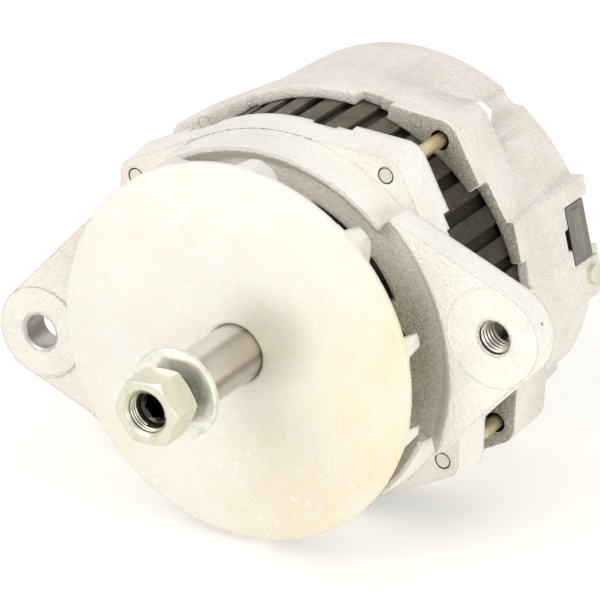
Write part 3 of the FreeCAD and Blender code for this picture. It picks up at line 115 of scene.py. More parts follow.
def settled(piece: bpy.types.Object) -> bpy.types.Mesh:
    """Give a new mesh of a piece with its modifiers applied."""
    graph = bpy.context.evaluated_depsgraph_get()
    return bpy.data.meshes.new_from_object(piece.evaluated_get(graph), depsgraph=graph)


class Socket:
    """A shader value whose arithmetic adds nodes to its tree."""

    def __init__(self, tree: Tree, link: bpy.types.NodeSocket) -> None:
        """Wrap one output socket of a tree."""
        self.tree = tree
        self.link = link

    def _math(self, kind: str, *values: Socket | float) -> Socket:
        """Add a Math node of one operation, fed with the values in order."""
        return self.tree.node("ShaderNodeMath", dict(enumerate(values)), operation=kind)

    def __add__(self, other: Socket | float) -> Socket:
        """Sum."""
        return self._math("ADD", self, other)

    def __radd__(self, other: float) -> Socket:
        """Sum with a number on the left."""
        return self._math("ADD", other, self)

    def __sub__(self, other: Socket | float) -> Socket:
        """Difference."""
        return self._math("SUBTRACT", self, other)

    def __rsub__(self, other: float) -> Socket:
        """Difference from a number."""
        return self._math("SUBTRACT", other, self)

    def __mul__(self, other: Socket | float) -> Socket:
        """Product."""
        return self._math("MULTIPLY", self, other)

    def __rmul__(self, other: float) -> Socket:
        """Product with a number on the left."""
        return self._math("MULTIPLY", other, self)

    def __truediv__(self, other: Socket | float) -> Socket:
        """Quotient."""
        return self._math("DIVIDE", self, other)

    def __gt__(self, other: Socket | float) -> Socket:
        """One where this is greater, else zero."""
        return self._math("GREATER_THAN", self, other)

    def __lt__(self, other: Socket | float) -> Socket:
        """One where this is less, else zero."""
        return self._math("LESS_THAN", self, other)

    def either(self, other: Socket) -> Socket:
        """The greater of this and another value."""
        return self._math("MAXIMUM", self, other)

    def sine(self) -> Socket:
        """Sine of an angle in radians."""
        return self._math("SINE", self)

    def clamped(self) -> Socket:
        """The value kept between zero and one."""
        return self.tree.node("ShaderNodeClamp", {"Value": self})

    def about(self, value: float, spread: float) -> Socket:
        """Let a number waver with this noise."""
        return value + (self - NOISE_MIDDLE) * spread

    def lifted(self, low: float) -> Socket:
        """Squeeze the range from zero to one into the range from a low value to one."""
        return low + self * (1.0 - low)

    def ramp(self, low: float, high: float) -> Socket:
        """Rise smoothly from zero at a low value to one at a high value."""
        inputs = {"Value": self, "From Min": low, "From Max": high}
        return self.tree.node("ShaderNodeMapRange", inputs, interpolation_type="SMOOTHSTEP")


class Tree:
    """A shader tree of a material or a world, with one method that adds any node."""

    def __init__(self, owner: bpy.types.Material | bpy.types.World, output: str) -> None:
        """Empty the owner's tree and add its output.

        Args:
            owner: The material or world.
            output: Type of the output node.
        """
        owner.use_nodes = True
        self.owner = owner
        self.nodes = owner.node_tree.nodes
        self.links = owner.node_tree.links
        self.nodes.clear()
        self.output = self.nodes.new(output)

    @classmethod
    def of_material(cls, name: str) -> Tree:
        """Start an empty material."""
        return cls(bpy.data.materials.new(name), "ShaderNodeOutputMaterial")

    def node(self, kind: str, inputs: dict[str | int, object] | None = None,
             out: str | int = 0, **settings: object) -> Socket:
        """Add a node, set it up and feed it.

        Args:
            kind: The node's type.
            inputs: Values or links by the input's name or number.
            out: Name or number of the output that is returned.
            settings: Attributes of the node.

        Returns:
            The chosen output.
        """
        item = self.nodes.new(kind)
        for key, value in settings.items():
            setattr(item, key, value)
        for key, value in (inputs or {}).items():
            if isinstance(value, Socket):
                self.links.new(value.link, item.inputs[key])
            else:
                item.inputs[key].default_value = value
        return Socket(self, item.outputs[out])

    @cached_property
    def place(self) -> Socket:
        """Object coordinates in metres."""
        return self.node("ShaderNodeTexCoord", out="Object")

    @cached_property
    def axes(self) -> tuple[Socket, ...]:
        """X, Y and Z of the place."""
        return self.split(self.place)

    def split(self, vector: Socket) -> tuple[Socket, ...]:
        """Give the X, Y and Z of a vector."""
        item = self.node("ShaderNodeSeparateXYZ", {0: vector}).link.node
        return tuple(Socket(self, output) for output in item.outputs)

    def join(self, x: Socket, y: Socket | float, z: Socket | float) -> Socket:
        """Make a vector of three values."""
        return self.node("ShaderNodeCombineXYZ", {0: x, 1: y, 2: z})

    def stretched(self, across: float, along: float) -> Socket:
        """The place, scaled across the shaft's direction and along it."""
        x, y, z = self.axes
        return self.join(x * across, y * along, z * across)

    def side(self, slope: Pair, rise: Pair) -> Socket:
        """Rise from zero to one over X and Z that are weighed by a slope."""
        return (self.axes[0] * slope[0] + self.axes[2] * slope[1]).ramp(*rise)

    def away_from(self, line: Pair) -> Socket:
        """Distance from a line along the shaft's direction, at an X and a Z."""
        across = self.join(self.axes[0] - line[0], self.axes[2] - line[1], 0.0)
        return self.node("ShaderNodeVectorMath", {0: across}, out="Value", operation="LENGTH")

    def noise(self, scale: float, detail: float, roughness: float,
              vector: Socket | None = None) -> Socket:
        """Noise about one half.

        Args:
            scale: Number of features per metre, or per unit of the vector.
            detail: Octaves.
            roughness: Strength of the finer octaves.
            vector: What it is laid over, or else the object's space.

        Returns:
            The noise.
        """
        inputs = {"Vector": vector or self.place, "Scale": scale, "Detail": detail,
                  "Roughness": roughness}
        return self.node("ShaderNodeTexNoise", inputs, normalize=True)

    def mix(self, share: Socket | float, first: Socket | Colour, second: Socket | Colour,
            blend: str = "MIX") -> Socket:
        """Mix two colours.

        Args:
            share: Zero for the first, one for the second.
            first: First colour.
            second: Second colour.
            blend: Way of mixing.

        Returns:
            The mixed colour.
        """
        inputs = {0: share, 6: first, 7: second}
        return self.node("ShaderNodeMix", inputs, out=2, data_type="RGBA", blend_type=blend)

    def multiply(self, first: Socket, second: Socket) -> Socket:
        """Multiply two colours."""
        return self.mix(1.0, first, second, "MULTIPLY")

    def lay(self, colour: Socket, marks: tuple[Mark, ...]) -> Socket:
        """Lay marks over a colour in their order.

        Args:
            colour: The colour below.
            marks: The marks.

        Returns:
            The colour with its marks.
        """
        for mark in marks:
            colour = mark.lay(self, colour)
        return colour

    def bump(self, height: Socket, distance: float, normal: Socket | None = None) -> Socket:
        """Bump from a height.

        Args:
            height: Height between zero and one.
            distance: Metres that a height of one stands for.
            normal: A bump below this one.

        Returns:
            The normal.
        """
        inputs = {"Height": height, "Distance": distance, "Strength": 1.0}
        if normal is not None:
            inputs["Normal"] = normal
        return self.node("ShaderNodeBump", inputs)

    def soft_edges(self, radius: float, samples: int = 6) -> Socket:
        """Normal with the look of edges rounded to a radius in metres."""
        return self.node("ShaderNodeBevel", {"Radius": radius}, samples=samples)

    def close(self, shader: Socket) -> bpy.types.Material | bpy.types.World:
        """Link a shader to the output, and give the material or world."""
        self.links.new(shader.link, self.output.inputs["Surface"])
        return self.owner

    def surface(self, colour: Socket, roughness: Socket, normal: Socket,
                **constants: float) -> bpy.types.Material:
        """Finish the material with one surface shader.

        Args:
            colour: Base colour.
            roughness: Roughness.
            normal: Normal.
            constants: Further inputs by name, with underscores for spaces.

        Returns:
            The material.
        """
        inputs = {"Base Color": colour, "Roughness": roughness, "Normal": normal}
        for key, value in constants.items():
            inputs[key.replace("_", " ")] = value
        return self.close(self.node("ShaderNodeBsdfPrincipled", inputs))


@dataclass(frozen=True)
class Patches:
    """A noise of some scale, detail and roughness, risen between two of its values."""

    noise: Triple
    rise: Pair

    def build(self, tree: Tree) -> Socket:
        """Lay the patches over the object's space, from zero to one."""
        return tree.noise(*self.noise).ramp(*self.rise)


@dataclass(frozen=True)
class Mark:
    """A shade that shows at some places of a finish."""

    shade: Colour

    def share(self, tree: Tree) -> Socket:
        """Give the share of the shade at each place."""
        raise NotImplementedError

    def lay(self, tree: Tree, colour: Socket) -> Socket:
        """Mix the shade into the colour below."""
        return tree.mix(self.share(tree), colour, self.shade)


@dataclass(frozen=True)
class Stain(Mark):
    """Patches of another shade."""

    patches: Patches
    strength: float

    def share(self, tree: Tree) -> Socket:
        """Give the strength inside the patches."""
        return self.patches.build(tree) * self.strength


@dataclass(frozen=True)
class Warmth(Mark):
    """Yellowed side of a casting's front, in front of a station."""

    station: float
    strength: float
    slope: Pair = (0.95, -0.30)
    rise: Pair = (-4.0 * MM, 60.0 * MM)
    patches: Patches = Patches((26.0, 7.0, 0.7), (0.40, 0.66))
    least: float = 0.35

    def share(self, tree: Tree) -> Socket:
        """Give more of it towards one side, in patches."""
        uneven = tree.side(self.slope, self.rise) * self.patches.build(tree).lifted(self.least)
        return uneven * (tree.axes[1] < self.station) * self.strength


@dataclass(frozen=True)
class Flecks(Mark):
    """Small flecks that thin out upwards."""

    strength: float
    flecks: Patches = Patches((260.0, 3.0, 0.55), (0.63, 0.70))
    fade: Pair = (-45.0 * MM, 0.0)

    def share(self, tree: Tree) -> Socket:
        """Give the strength on the flecks of the lower part."""
        lower = 1.0 - tree.axes[2].ramp(*self.fade)
        return self.flecks.build(tree) * lower * self.strength


@dataclass(frozen=True)
class PaintedShadow(Mark):
    """Painted shadow: grey round a line, in front of a station."""

    line: Pair
    station: float
    fade: Pair = (4.0 * MM, 25.0 * MM)

    def share(self, tree: Tree) -> Socket:
        """Give less of it away from the line."""
        near = 1.0 - tree.away_from(self.line).ramp(*self.fade)
        return near * (tree.axes[1] < self.station)

    def lay(self, tree: Tree, colour: Socket) -> Socket:
        """Darken the colour below by the shade."""
        return tree.multiply(colour, tree.mix(self.share(tree), WHITE, self.shade))


@dataclass(frozen=True)
class SandAndShade(Mark):
    """Painted shade broken by sand grain, on faces between two stations, near the shaft and on
    one side.
    """

    pale: Colour
    stations: Pair
    reach: float
    slope: Pair
    rise: Pair
    facing: float = -0.8
    fade: float = 0.01 * MM
    foot: float = -1.0
    foot_band: float = 6.0 * MM
    sand: Patches = Patches((1500.0, 2.0, 0.6), (0.30, 0.66))

    def share(self, tree: Tree) -> Socket:
        """Give the share of the painted shade at each place.

        Args:
            tree: The material's tree.

        Returns:
            Zero outside and up to one inside.
        """
        _, y, z = tree.axes
        forward = tree.split(tree.node("ShaderNodeTexCoord", out="Normal"))[1] < self.facing
        near = 1.0 - tree.away_from(SHAFT_LINE).ramp(self.reach - self.fade, self.reach)
        between = (y > self.stations[0]) * (y < self.stations[1])
        above = z.ramp(self.foot - self.foot_band, self.foot + self.foot_band)
        return forward * near * between * tree.side(self.slope, self.rise) * above

    def lay(self, tree: Tree, colour: Socket) -> Socket:
        """Darken the colour below by painted shade, broken by grains of the shade and the paler
        one.
        """
        sand = tree.mix(self.sand.build(tree), self.shade, self.pale)
        return tree.mix(self.share(tree), colour, tree.multiply(colour, sand))


@dataclass(frozen=True)
class ShadeRing(Mark):
    """Faint painted shade line round a line, in front of a station, as in the crease round an
    ejector-pin mark.
    """

    line: Pair
    radius: float
    station: float
    half_width: float = 0.20 * MM
    strength: float = 0.35

    def share(self, tree: Tree) -> Socket:
        """Give the strength on the ring.

        Args:
            tree: The material's tree.

        Returns:
            The strength, and zero off the ring.
        """
        away = tree.away_from(self.line)
        ring = (away > self.radius - self.half_width) * (away < self.radius + self.half_width)
        return ring * (tree.axes[1] < self.station) * self.strength


@dataclass(frozen=True)
class ShadedPit(Mark):
    """Painted shade of a small pit in a casting's skin."""

    centre: Triple
    fade: Pair = (0.45 * MM, 0.975 * MM)
    strength: float = 0.7

    def share(self, tree: Tree) -> Socket:
        """Give less of it away from the pit's centre."""
        away = tree.node("ShaderNodeVectorMath", {0: tree.place, 1: self.centre}, out="Value",
                         operation="DISTANCE")
        return (1.0 - away.ramp(*self.fade)) * self.strength


@dataclass(frozen=True)
class ShadedHole(Mark):
    """Painted shade on the wall of a hole along the shaft's direction."""

    line: Pair
    radius: float

    def share(self, tree: Tree) -> Socket:
        """Give one inside the hole."""
        return tree.away_from(self.line) < self.radius


@dataclass(frozen=True)
class ShadedGrooves(Mark):
    """Painted shade in turned grooves round the shaft, out to some reach."""

    reach: float
    pitch: float = 0.62 * MM
    rise: Pair = (0.25, 0.9)
    strength: float = 0.55

    def share(self, tree: Tree) -> Socket:
        """Give the strength in the grooves.

        Args:
            tree: The material's tree.

        Returns:
            The strength, and zero between the grooves and out of reach.
        """
        away = tree.away_from(SHAFT_LINE)
        grooves = (away * (math.tau / self.pitch)).sine().ramp(*self.rise)
        return grooves * (away < self.reach) * self.strength


@dataclass(frozen=True)
class End(Mark):
    """End of a piece in front of a station, or its end behind the station."""

    station: float
    rear: bool = False

    def share(self, tree: Tree) -> Socket:
        """Give one on the end."""
        along = tree.axes[1]
        return along > self.station if self.rear else along < self.station


@dataclass(frozen=True)
class PaintedSheen(Mark):
    """Painted sheen: a paler streaked oval on a side wall, at a station and a height."""

    centre: Pair
    width: float = 3.6 * MM
    height: float = 9.6 * MM
    fade: Pair = (0.35, 1.15)
    streaks: Patches = Patches((420.0, 3.0, 0.6), (0.35, 0.65))
    least: float = 0.55
    strength: float = 0.8

    def share(self, tree: Tree) -> Socket:
        """Give less of it towards the oval's rim.

        Args:
            tree: The material's tree.

        Returns:
            The share, and zero outside the oval.
        """
        along = (tree.axes[1] - self.centre[0]) / self.width
        up = (tree.axes[2] - self.centre[1]) / self.height
        oval = 1.0 - (along * along + up * up).ramp(*self.fade)
        return oval * self.streaks.build(tree).lifted(self.least) * self.strength


@dataclass(frozen=True)
class CastFinish:
    """Sand-cast, shot-blasted aluminium: pale and dry, with grain under its marks."""

    name: str
    base: Colour = (0.85, 0.812, 0.76, 1.0)
    shade: Colour = (0.775, 0.735, 0.67, 1.0)
    clouds: Patches = Patches((60.0, 6.0, 0.65), (0.36, 0.62))
    stains: tuple[Mark, ...] = (
        Stain((0.82, 0.75, 0.63, 1.0), Patches((38.0, 6.0, 0.68), (0.56, 0.76)), 0.45),
    )
    grain: float = 1500.0
    grain_noise: Pair = (2.0, 0.6)
    grain_rise: Pair = (0.28, 0.66)
    grain_shade: Colour = (0.85, 0.84, 0.825, 1.0)
    grain_depth: float = 1.1 * MM
    pits: float = 0.45
    pit_noise: Pair = (2.0, 0.5)
    pit_share: float = 0.5
    marks: tuple[Mark, ...] = ()
    edge: float = 1.6 * MM
    roughness: float = 0.6
    spread: float = 0.25
    metallic: float = 0.15

    def build(self) -> bpy.types.Material:
        """Make the material.

        Returns:
            The finished material.
        """
        tree = Tree.of_material(self.name)
        fine = tree.noise(self.grain, *self.grain_noise)
        pits = tree.noise(self.grain * self.pits, *self.pit_noise)
        colour = tree.mix(self.clouds.build(tree), self.shade, self.base)
        colour = tree.lay(colour, self.stains)
        grains = tree.mix(fine.ramp(*self.grain_rise), self.grain_shade, WHITE)
        colour = tree.lay(tree.multiply(colour, grains), self.marks)
        height = fine * (1.0 - self.pit_share) + pits * self.pit_share
        normal = tree.bump(height, self.grain_depth, tree.soft_edges(self.edge))
        rough = fine.about(self.roughness, self.spread)
        return tree.surface(colour, rough, normal, Metallic=self.metallic)


@dataclass(frozen=True)
class MetalFinish:
    """Turned, drawn or plated metal with streaks along the shaft or round it. On the ground
    shaft the streaks along it are painted reflection bands.
    """

    name: str
    base: Colour
    tarnish_and_reflection: Colour
    roughness: float
    metallic: float = 1.0
    across: float = 900.0
    along: float = 60.0
    streaks: Triple = (1.0, 3.0, 0.6)
    streak_rise: Pair = (0.45, 0.75)
    streak_share: float = 0.25
    clouds: Triple = (180.0, 4.0, 0.6)
    cloud_rise: Pair = (0.42, 0.68)
    cloud_share: float = 0.5
    groove: float = 0.01 * MM
    edge: float = 0.3 * MM
    spread: float = 0.2
    marks: tuple[Mark, ...] = ()

    def build(self) -> bpy.types.Material:
        """Make the material.

        Returns:
            The finished material.
        """
        tree = Tree.of_material(self.name)
        lines = tree.noise(*self.streaks, tree.stretched(self.across, self.along))
        cloud = tree.noise(*self.clouds)
        # Share of tarnish; on the ground shaft the streaks along it give painted reflection
        # bands.
        worn = (cloud.ramp(*self.cloud_rise) * self.cloud_share
                + lines.ramp(*self.streak_rise) * self.streak_share)
        colour = tree.mix(worn.clamped(), self.base, self.tarnish_and_reflection)
        colour = tree.lay(colour, self.marks)
        normal = tree.bump(lines, self.groove, tree.soft_edges(self.edge))
        rough = cloud.about(self.roughness, self.spread)
        return tree.surface(colour, rough, normal, Metallic=self.metallic)


@dataclass(frozen=True)
class LaminationFinish:
    """Edges of a varnished stack of thin steel sheets, with painted shade on one flank."""

    name: str = "laminations"
    base: Colour = (0.052, 0.045, 0.033, 1.0)
    worn: Colour = (0.215, 0.182, 0.132, 1.0)
    flank_shade: Colour = (0.33, 0.315, 0.265, 1.0)
    flank_shade_slope: Pair = (-1.0, 1.0)
    flank_shade_rise: Pair = (-15.0 * MM, 60.0 * MM)
    sheet: float = 0.70 * MM
    around: float = 25.0
    uneven: Triple = (1.0, 1.0, 0.5)
    rows: float = 330.0
    row_bend: float = 0.6
    row_detail: float = 2.0
    row_share: float = 0.5
    row_rise: Pair = (0.42, 0.66)
    row_least: float = 0.30
    depth: float = 0.20 * MM
    land: Pair = (70.0 * MM, 70.8 * MM)
    clouds: Triple = (220.0, 4.0, 0.6)
    cloud_rise: Pair = (0.25, 0.6)
    broad: Patches = Patches((34.0, 4.0, 0.6), (0.34, 0.64))
    broad_least: float = 0.55
    dust: Colour = (0.42, 0.39, 0.33, 1.0)
    speckle: Patches = Patches((1100.0, 2.0, 0.6), (0.66, 0.72))
    dust_share: float = 0.45
    roughness: float = 0.42
    spread: float = 0.25
    gloss: float = 0.3

    def build(self) -> bpy.types.Material:
        """Make the material.

        Returns:
            The finished material.
        """
        tree = Tree.of_material(self.name)
        uneven = tree.noise(*self.uneven, tree.stretched(self.around, 1.0 / self.sheet))
        rows = tree.node("ShaderNodeTexWave", {
            "Vector": tree.place, "Scale": self.rows, "Distortion": self.row_bend,
            "Detail": self.row_detail,
        }, out="Fac", wave_type="BANDS", bands_direction="Y")
        edges = uneven * (1.0 - self.row_share) + rows * self.row_share
        cloud = tree.noise(*self.clouds)
        land = tree.away_from(SHAFT_LINE).ramp(*self.land)
        rubbed = edges.ramp(*self.row_rise).lifted(self.row_least)
        worn = (land * rubbed * cloud.ramp(*self.cloud_rise)).clamped()
        worn = worn * self.broad.build(tree).lifted(self.broad_least)
        colour = tree.mix(worn, self.base, self.worn)
        # Painted shade: the stack darker towards the right and the bottom.
        flank_shading = tree.mix(tree.side(self.flank_shade_slope, self.flank_shade_rise), self.flank_shade, WHITE)
        dust = self.speckle.build(tree) * land * self.dust_share
        colour = tree.mix(dust, tree.multiply(colour, flank_shading), self.dust)
        rough = self.roughness + cloud * self.spread
        return tree.surface(colour, rough, tree.bump(edges, self.depth),
                            Specular_IOR_Level=self.gloss)


@dataclass(frozen=True)
class MouldedFinish:
    """Moulded plastic, rubber or pressed carbon, a little dusty."""

    name: str
    base: Colour
    roughness: float = 0.5
    spread: float = 0.2
    grain: Triple = (1500.0, 3.0, 0.6)
    grain_depth: float = 0.05 * MM
    dust: Triple = (120.0, 4.0, 0.6)
    dust_rise: Pair = (0.5, 0.75)
    dust_share: float = 0.5
    dust_gain: float = 1.25
    dust_lift: float = 0.02
    marks: tuple[Mark, ...] = ()

    def build(self) -> bpy.types.Material:
        """Make the material.

        Returns:
            The finished material.
        """
        tree = Tree.of_material(self.name)
        dust = tree.noise(*self.dust)
        pale = tuple(part * self.dust_gain + self.dust_lift for part in self.base[:3]) + (1.0,)
        colour = tree.mix(dust.ramp(*self.dust_rise) * self.dust_share, self.base, pale)
        colour = tree.lay(colour, self.marks)
        normal = tree.bump(tree.noise(*self.grain), self.grain_depth)
        return tree.surface(colour, dust.about(self.roughness, self.spread), normal)


@dataclass(frozen=True)
class CopperFinish:
    """Enamelled copper wire under varnish."""

    name: str = "enamelled_copper"
    base: Colour = (0.42, 0.17, 0.07, 1.0)
    pale: Colour = (0.62, 0.30, 0.14, 1.0)
    clouds: Triple = (160.0, 4.0, 0.6)
    cloud_rise: Pair = (0.4, 0.7)
    grain: Triple = (1900.0, 2.0, 0.5)
    grain_depth: float = 0.06 * MM
    roughness: float = 0.3
    spread: float = 0.2
    metallic: float = 0.55

    def build(self) -> bpy.types.Material:
        """Make the material.

        Returns:
            The finished material.
        """
        tree = Tree.of_material(self.name)
        cloud = tree.noise(*self.clouds)
        colour = tree.mix(cloud.ramp(*self.cloud_rise), self.base, self.pale)
        normal = tree.bump(tree.noise(*self.grain), self.grain_depth)
        rough = self.roughness + cloud * self.spread
        return tree.surface(colour, rough, normal, Metallic=self.metallic)


class Finish(Enum):
    """Every finish of the alternator."""

    FRAME = CastFinish(
        "rear_casting",
        marks=(
            # Painted shade, broken by sand grain, on the rim's front faces, darker towards the
            # right.
            SandAndShade((0.40, 0.385, 0.35, 1.0), (0.66, 0.645, 0.61, 1.0),
                   stations=(92.5 * MM, 99.5 * MM), reach=200.0 * MM,
                   slope=(1.0, 0.0), rise=(-10.0 * MM, 42.0 * MM)),
            # Painted shade lines round two ejector-pin marks, and painted shade in the
            # through-bolt holes.
            ShadeRing(SHADOW, (30.8 * MM, 71.8 * MM), radius=2.6 * MM, station=93.1 * MM),
            ShadeRing(SHADOW, (-60.3 * MM, 49.9 * MM), radius=2.6 * MM, station=93.1 * MM),
            *(ShadedHole(SHADOW, line, radius=3.95 * MM) for line in BOLT_LINES),
        ),
    )
    DRIVE_FRAME = CastFinish(
        "drive_casting",
        base=(0.885, 0.855, 0.80, 1.0),
        shade=(0.835, 0.805, 0.75, 1.0),
        grain_shade=(0.92, 0.912, 0.90, 1.0),
        edge=2.6 * MM,
        marks=(
            # Painted shade, broken by sand grain, in the dish behind the fan, darker towards
            # the bottom.
            SandAndShade((0.48, 0.46, 0.40, 1.0), (0.80, 0.775, 0.70, 1.0),
                   stations=(43.6 * MM, 53.0 * MM), reach=78.0 * MM, fade=15.0 * MM,
                   slope=(0.0, -1.0), rise=(-50.0 * MM, -16.0 * MM), facing=0.3,
                   foot=-24.0 * MM),
            # Painted shade of two small pits, and painted shade in the ear's hole and the bolt
            # holes.
            ShadedPit(SHADOW, (110.98 * MM, 38.0 * MM, 32.78 * MM)),
            ShadedPit(SHADOW, (113.57 * MM, 42.81 * MM, 30.87 * MM)),
            ShadedHole(SHADOW, EAR_LINE, radius=6.45 * MM),
            *(ShadedHole(SHADOW, line, radius=3.25 * MM) for line in BOLT_LINES),
        ),
    )
    FAN = CastFinish(
        "fan_casting",
        base=(0.79, 0.777, 0.735, 1.0),
        shade=(0.775, 0.755, 0.69, 1.0),
        stains=(
            Stain((0.80, 0.74, 0.59, 1.0), Patches((38.0, 6.0, 0.68), (0.50, 0.70)), 0.4),
            Warmth((0.79, 0.695, 0.49, 1.0), station=FAN_FACE, strength=0.95),
        ),
        grain=1300.0,
        grain_shade=(0.94, 0.93, 0.91, 1.0),
        grain_depth=0.08 * MM,
        roughness=0.55,
        marks=(
            Flecks((0.93, 0.925, 0.90, 1.0), strength=0.55),
            # Painted shadow of the shaft and the nut on the fan's face.
            PaintedShadow((0.74, 0.72, 0.66, 1.0), line=(14.0 * MM, 9.0 * MM), station=FAN_FACE),
        ),
    )
    SINK = CastFinish("sink_casting", grain=1900.0, roughness=0.45, metallic=0.6)
    LAMINATIONS = LaminationFinish()
    COPPER = CopperFinish()
    # Painted reflection: dark streaks along the ground shaft stand in for the room mirrored in
    # it.
    SHAFT = MetalFinish(
        "ground_shaft", (0.69, 0.66, 0.625, 1.0), (0.32, 0.285, 0.255, 1.0),
        roughness=0.16, across=120.0, along=5.0, streaks=(1.0, 1.0, 0.6), streak_share=1.0,
        cloud_share=0.12, groove=0.002 * MM,
        marks=(End((0.06, 0.053, 0.045, 1.0), station=-22.2 * MM),),
    )
    STEEL = MetalFinish(
        "plain_steel", (0.50, 0.48, 0.46, 1.0), (0.30, 0.28, 0.27, 1.0), roughness=0.35,
    )
    BUSHING = MetalFinish(
        "bushing_steel", (0.60, 0.57, 0.54, 1.0), (0.42, 0.39, 0.36, 1.0), roughness=0.42,
        metallic=0.7, edge=0.6 * MM,
    )
    CUT = MetalFinish(
        "cut_aluminium", (0.74, 0.69, 0.61, 1.0), (0.52, 0.475, 0.40, 1.0), roughness=0.3,
        metallic=0.6, edge=0.08 * MM,
    )
    THREAD = MetalFinish(
        "dark_thread", (0.26, 0.245, 0.22, 1.0), (0.13, 0.12, 0.11, 1.0), roughness=0.38,
    )
    BEARING = MetalFinish(
        "bearing_steel", (0.70, 0.70, 0.71, 1.0), (0.45, 0.44, 0.44, 1.0), roughness=0.16,
    )
    FORGED = MetalFinish(
        "forged_steel", (0.20, 0.19, 0.185, 1.0), (0.11, 0.10, 0.095, 1.0), roughness=0.5,
        metallic=0.8,
    )
    PALE_ZINC = MetalFinish(
        "pale_zinc", (0.70, 0.69, 0.575, 1.0), (0.56, 0.55, 0.43, 1.0), roughness=0.32,
        across=200.0, along=200.0, metallic=0.7, cloud_share=0.45,
    )
    NUT_ZINC = replace(PALE_ZINC, name="nut_zinc", marks=(
        # Painted shade in the turned grooves at the nut's mouth and on its bore's wall.
        ShadedGrooves(NUT_BORE_SHADE, reach=9.25 * MM), ShadedHole(NUT_BORE_SHADE, SHAFT_LINE, radius=7.96 * MM),
    ))
    WASHER_ZINC = MetalFinish(
        "washer_zinc", (0.82, 0.83, 0.77, 1.0), (0.44, 0.46, 0.39, 1.0), roughness=0.25,
        across=160.0, along=300.0, metallic=0.8,
    )
    YELLOW_ZINC = MetalFinish(
        "yellow_zinc", (0.66, 0.56, 0.36, 1.0), (0.45, 0.36, 0.22, 1.0), roughness=0.36,
        metallic=0.85, marks=(
            End((0.72, 0.70, 0.62, 1.0), station=56.0 * MM),
            # Behind this station the bolt heads are paler metal, pushed near white as a painted
            # glint.
            End((0.93, 0.92, 0.88, 1.0), station=115.7 * MM, rear=True),
        ),
    )
    GREY_PLASTIC = MouldedFinish("grey_plastic", (0.165, 0.152, 0.132, 1.0), marks=(
        # Painted sheen down the middle of the connector plate.
        PaintedSheen((0.22625, 0.21, 0.185, 1.0), centre=(140.9 * MM, 20.0 * MM)),
        # Painted shade: the plate in front of this station is near black, standing in for the
        # shaded slot.
        End((0.012, 0.011, 0.010, 1.0), station=134.1 * MM),
    ))
    BLACK_PLASTIC = MouldedFinish("black_plastic", (0.035, 0.035, 0.035, 1.0))
    RUBBER = MouldedFinish("seal_rubber", (0.03, 0.03, 0.03, 1.0), roughness=0.7)
    CARBON = MouldedFinish("brush_carbon", (0.07, 0.07, 0.07, 1.0), roughness=0.6)


class Paint:
    """Builds each finish once and hands it out."""

    def __init__(self) -> None:
        """Start with no material made."""
        self.made: dict[Finish, bpy.types.Material] = {}

    def material(self, finish: Finish) -> bpy.types.Material:
        """Give the material of a finish.

        Args:
            finish: The finish.

        Returns:
            Its material.
        """
        if finish not in self.made:
            self.made[finish] = finish.value.build()
        return self.made[finish]

    def dress(self, piece: bpy.types.Object, finish: Finish) -> None:
        """Give every slot of an object one finish.

        Args:
            piece: The object.
            finish: The finish.
        """
        material = self.material(finish)
        if not piece.data.materials:
            piece.data.materials.append(material)
        for slot in piece.material_slots:
            slot.material = material


@dataclass
class Bench:
    """What every sub-assembly is built from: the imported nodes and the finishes."""

    nodes: dict[str, bpy.types.Object]
    paint: Paint
    weld: float = 0.002 * MM
    flat: float = math.radians(0.6)

    def twin(self, node: str, name: str) -> bpy.types.Object:
        """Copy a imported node's mesh as it is into a new piece."""
        LOG.info("copied %s into %s", node, name)
        return stand(name, self.nodes[node].data.copy())

    def copy(self, node: str, name: str) -> bpy.types.Object:
        """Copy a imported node's mesh into a new piece, with its loose triangles joined.

        Args:
            node: The node's name.
            name: The new piece's name.

        Returns:
            The new piece.
        """
        shape = bmesh.new()
        shape.from_mesh(self.nodes[node].data)
        bmesh.ops.remove_doubles(shape, verts=shape.verts, dist=self.weld)
        bmesh.ops.dissolve_limit(shape, angle_limit=self.flat, verts=shape.verts,
                                 edges=shape.edges)
        mesh = bpy.data.meshes.new(name)
        shape.to_mesh(mesh)
        shape.free()
        LOG.info("joined %s into %s", node, name)
        return stand(name, mesh)

    def dress(self, finishes: dict[str, Finish]) -> None:
        """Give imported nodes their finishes.

        Args:
            finishes: Finish of each node by name.
        """
        for name, finish in finishes.items():
            self.paint.dress(self.nodes[name], finish)
            LOG.info("dressed %s", name)

    def grow(self, name: str, tree: bpy.types.NodeTree,
             values: dict[str, object]) -> bpy.types.Object:
        """Run a Geometry Nodes tree and keep its result as a plain mesh.

        Args:
            name: Name of the new piece.
            tree: The tree.
            values: Its inputs by name.

        Returns:
            The new piece.
        """
        piece = stand(name, bpy.data.meshes.new(name))
        shaper = piece.modifiers.new("shape", "NODES")
        shaper.node_group = tree
        for item in tree.interface.items_tree:
            if item.in_out == "INPUT" and item.name in values:
                shaper[item.identifier] = values[item.name]
        plain = settled(piece)
        piece.modifiers.clear()
        piece.data = plain
        LOG.info("made %s with %d faces", name, len(plain.polygons))
        return piece


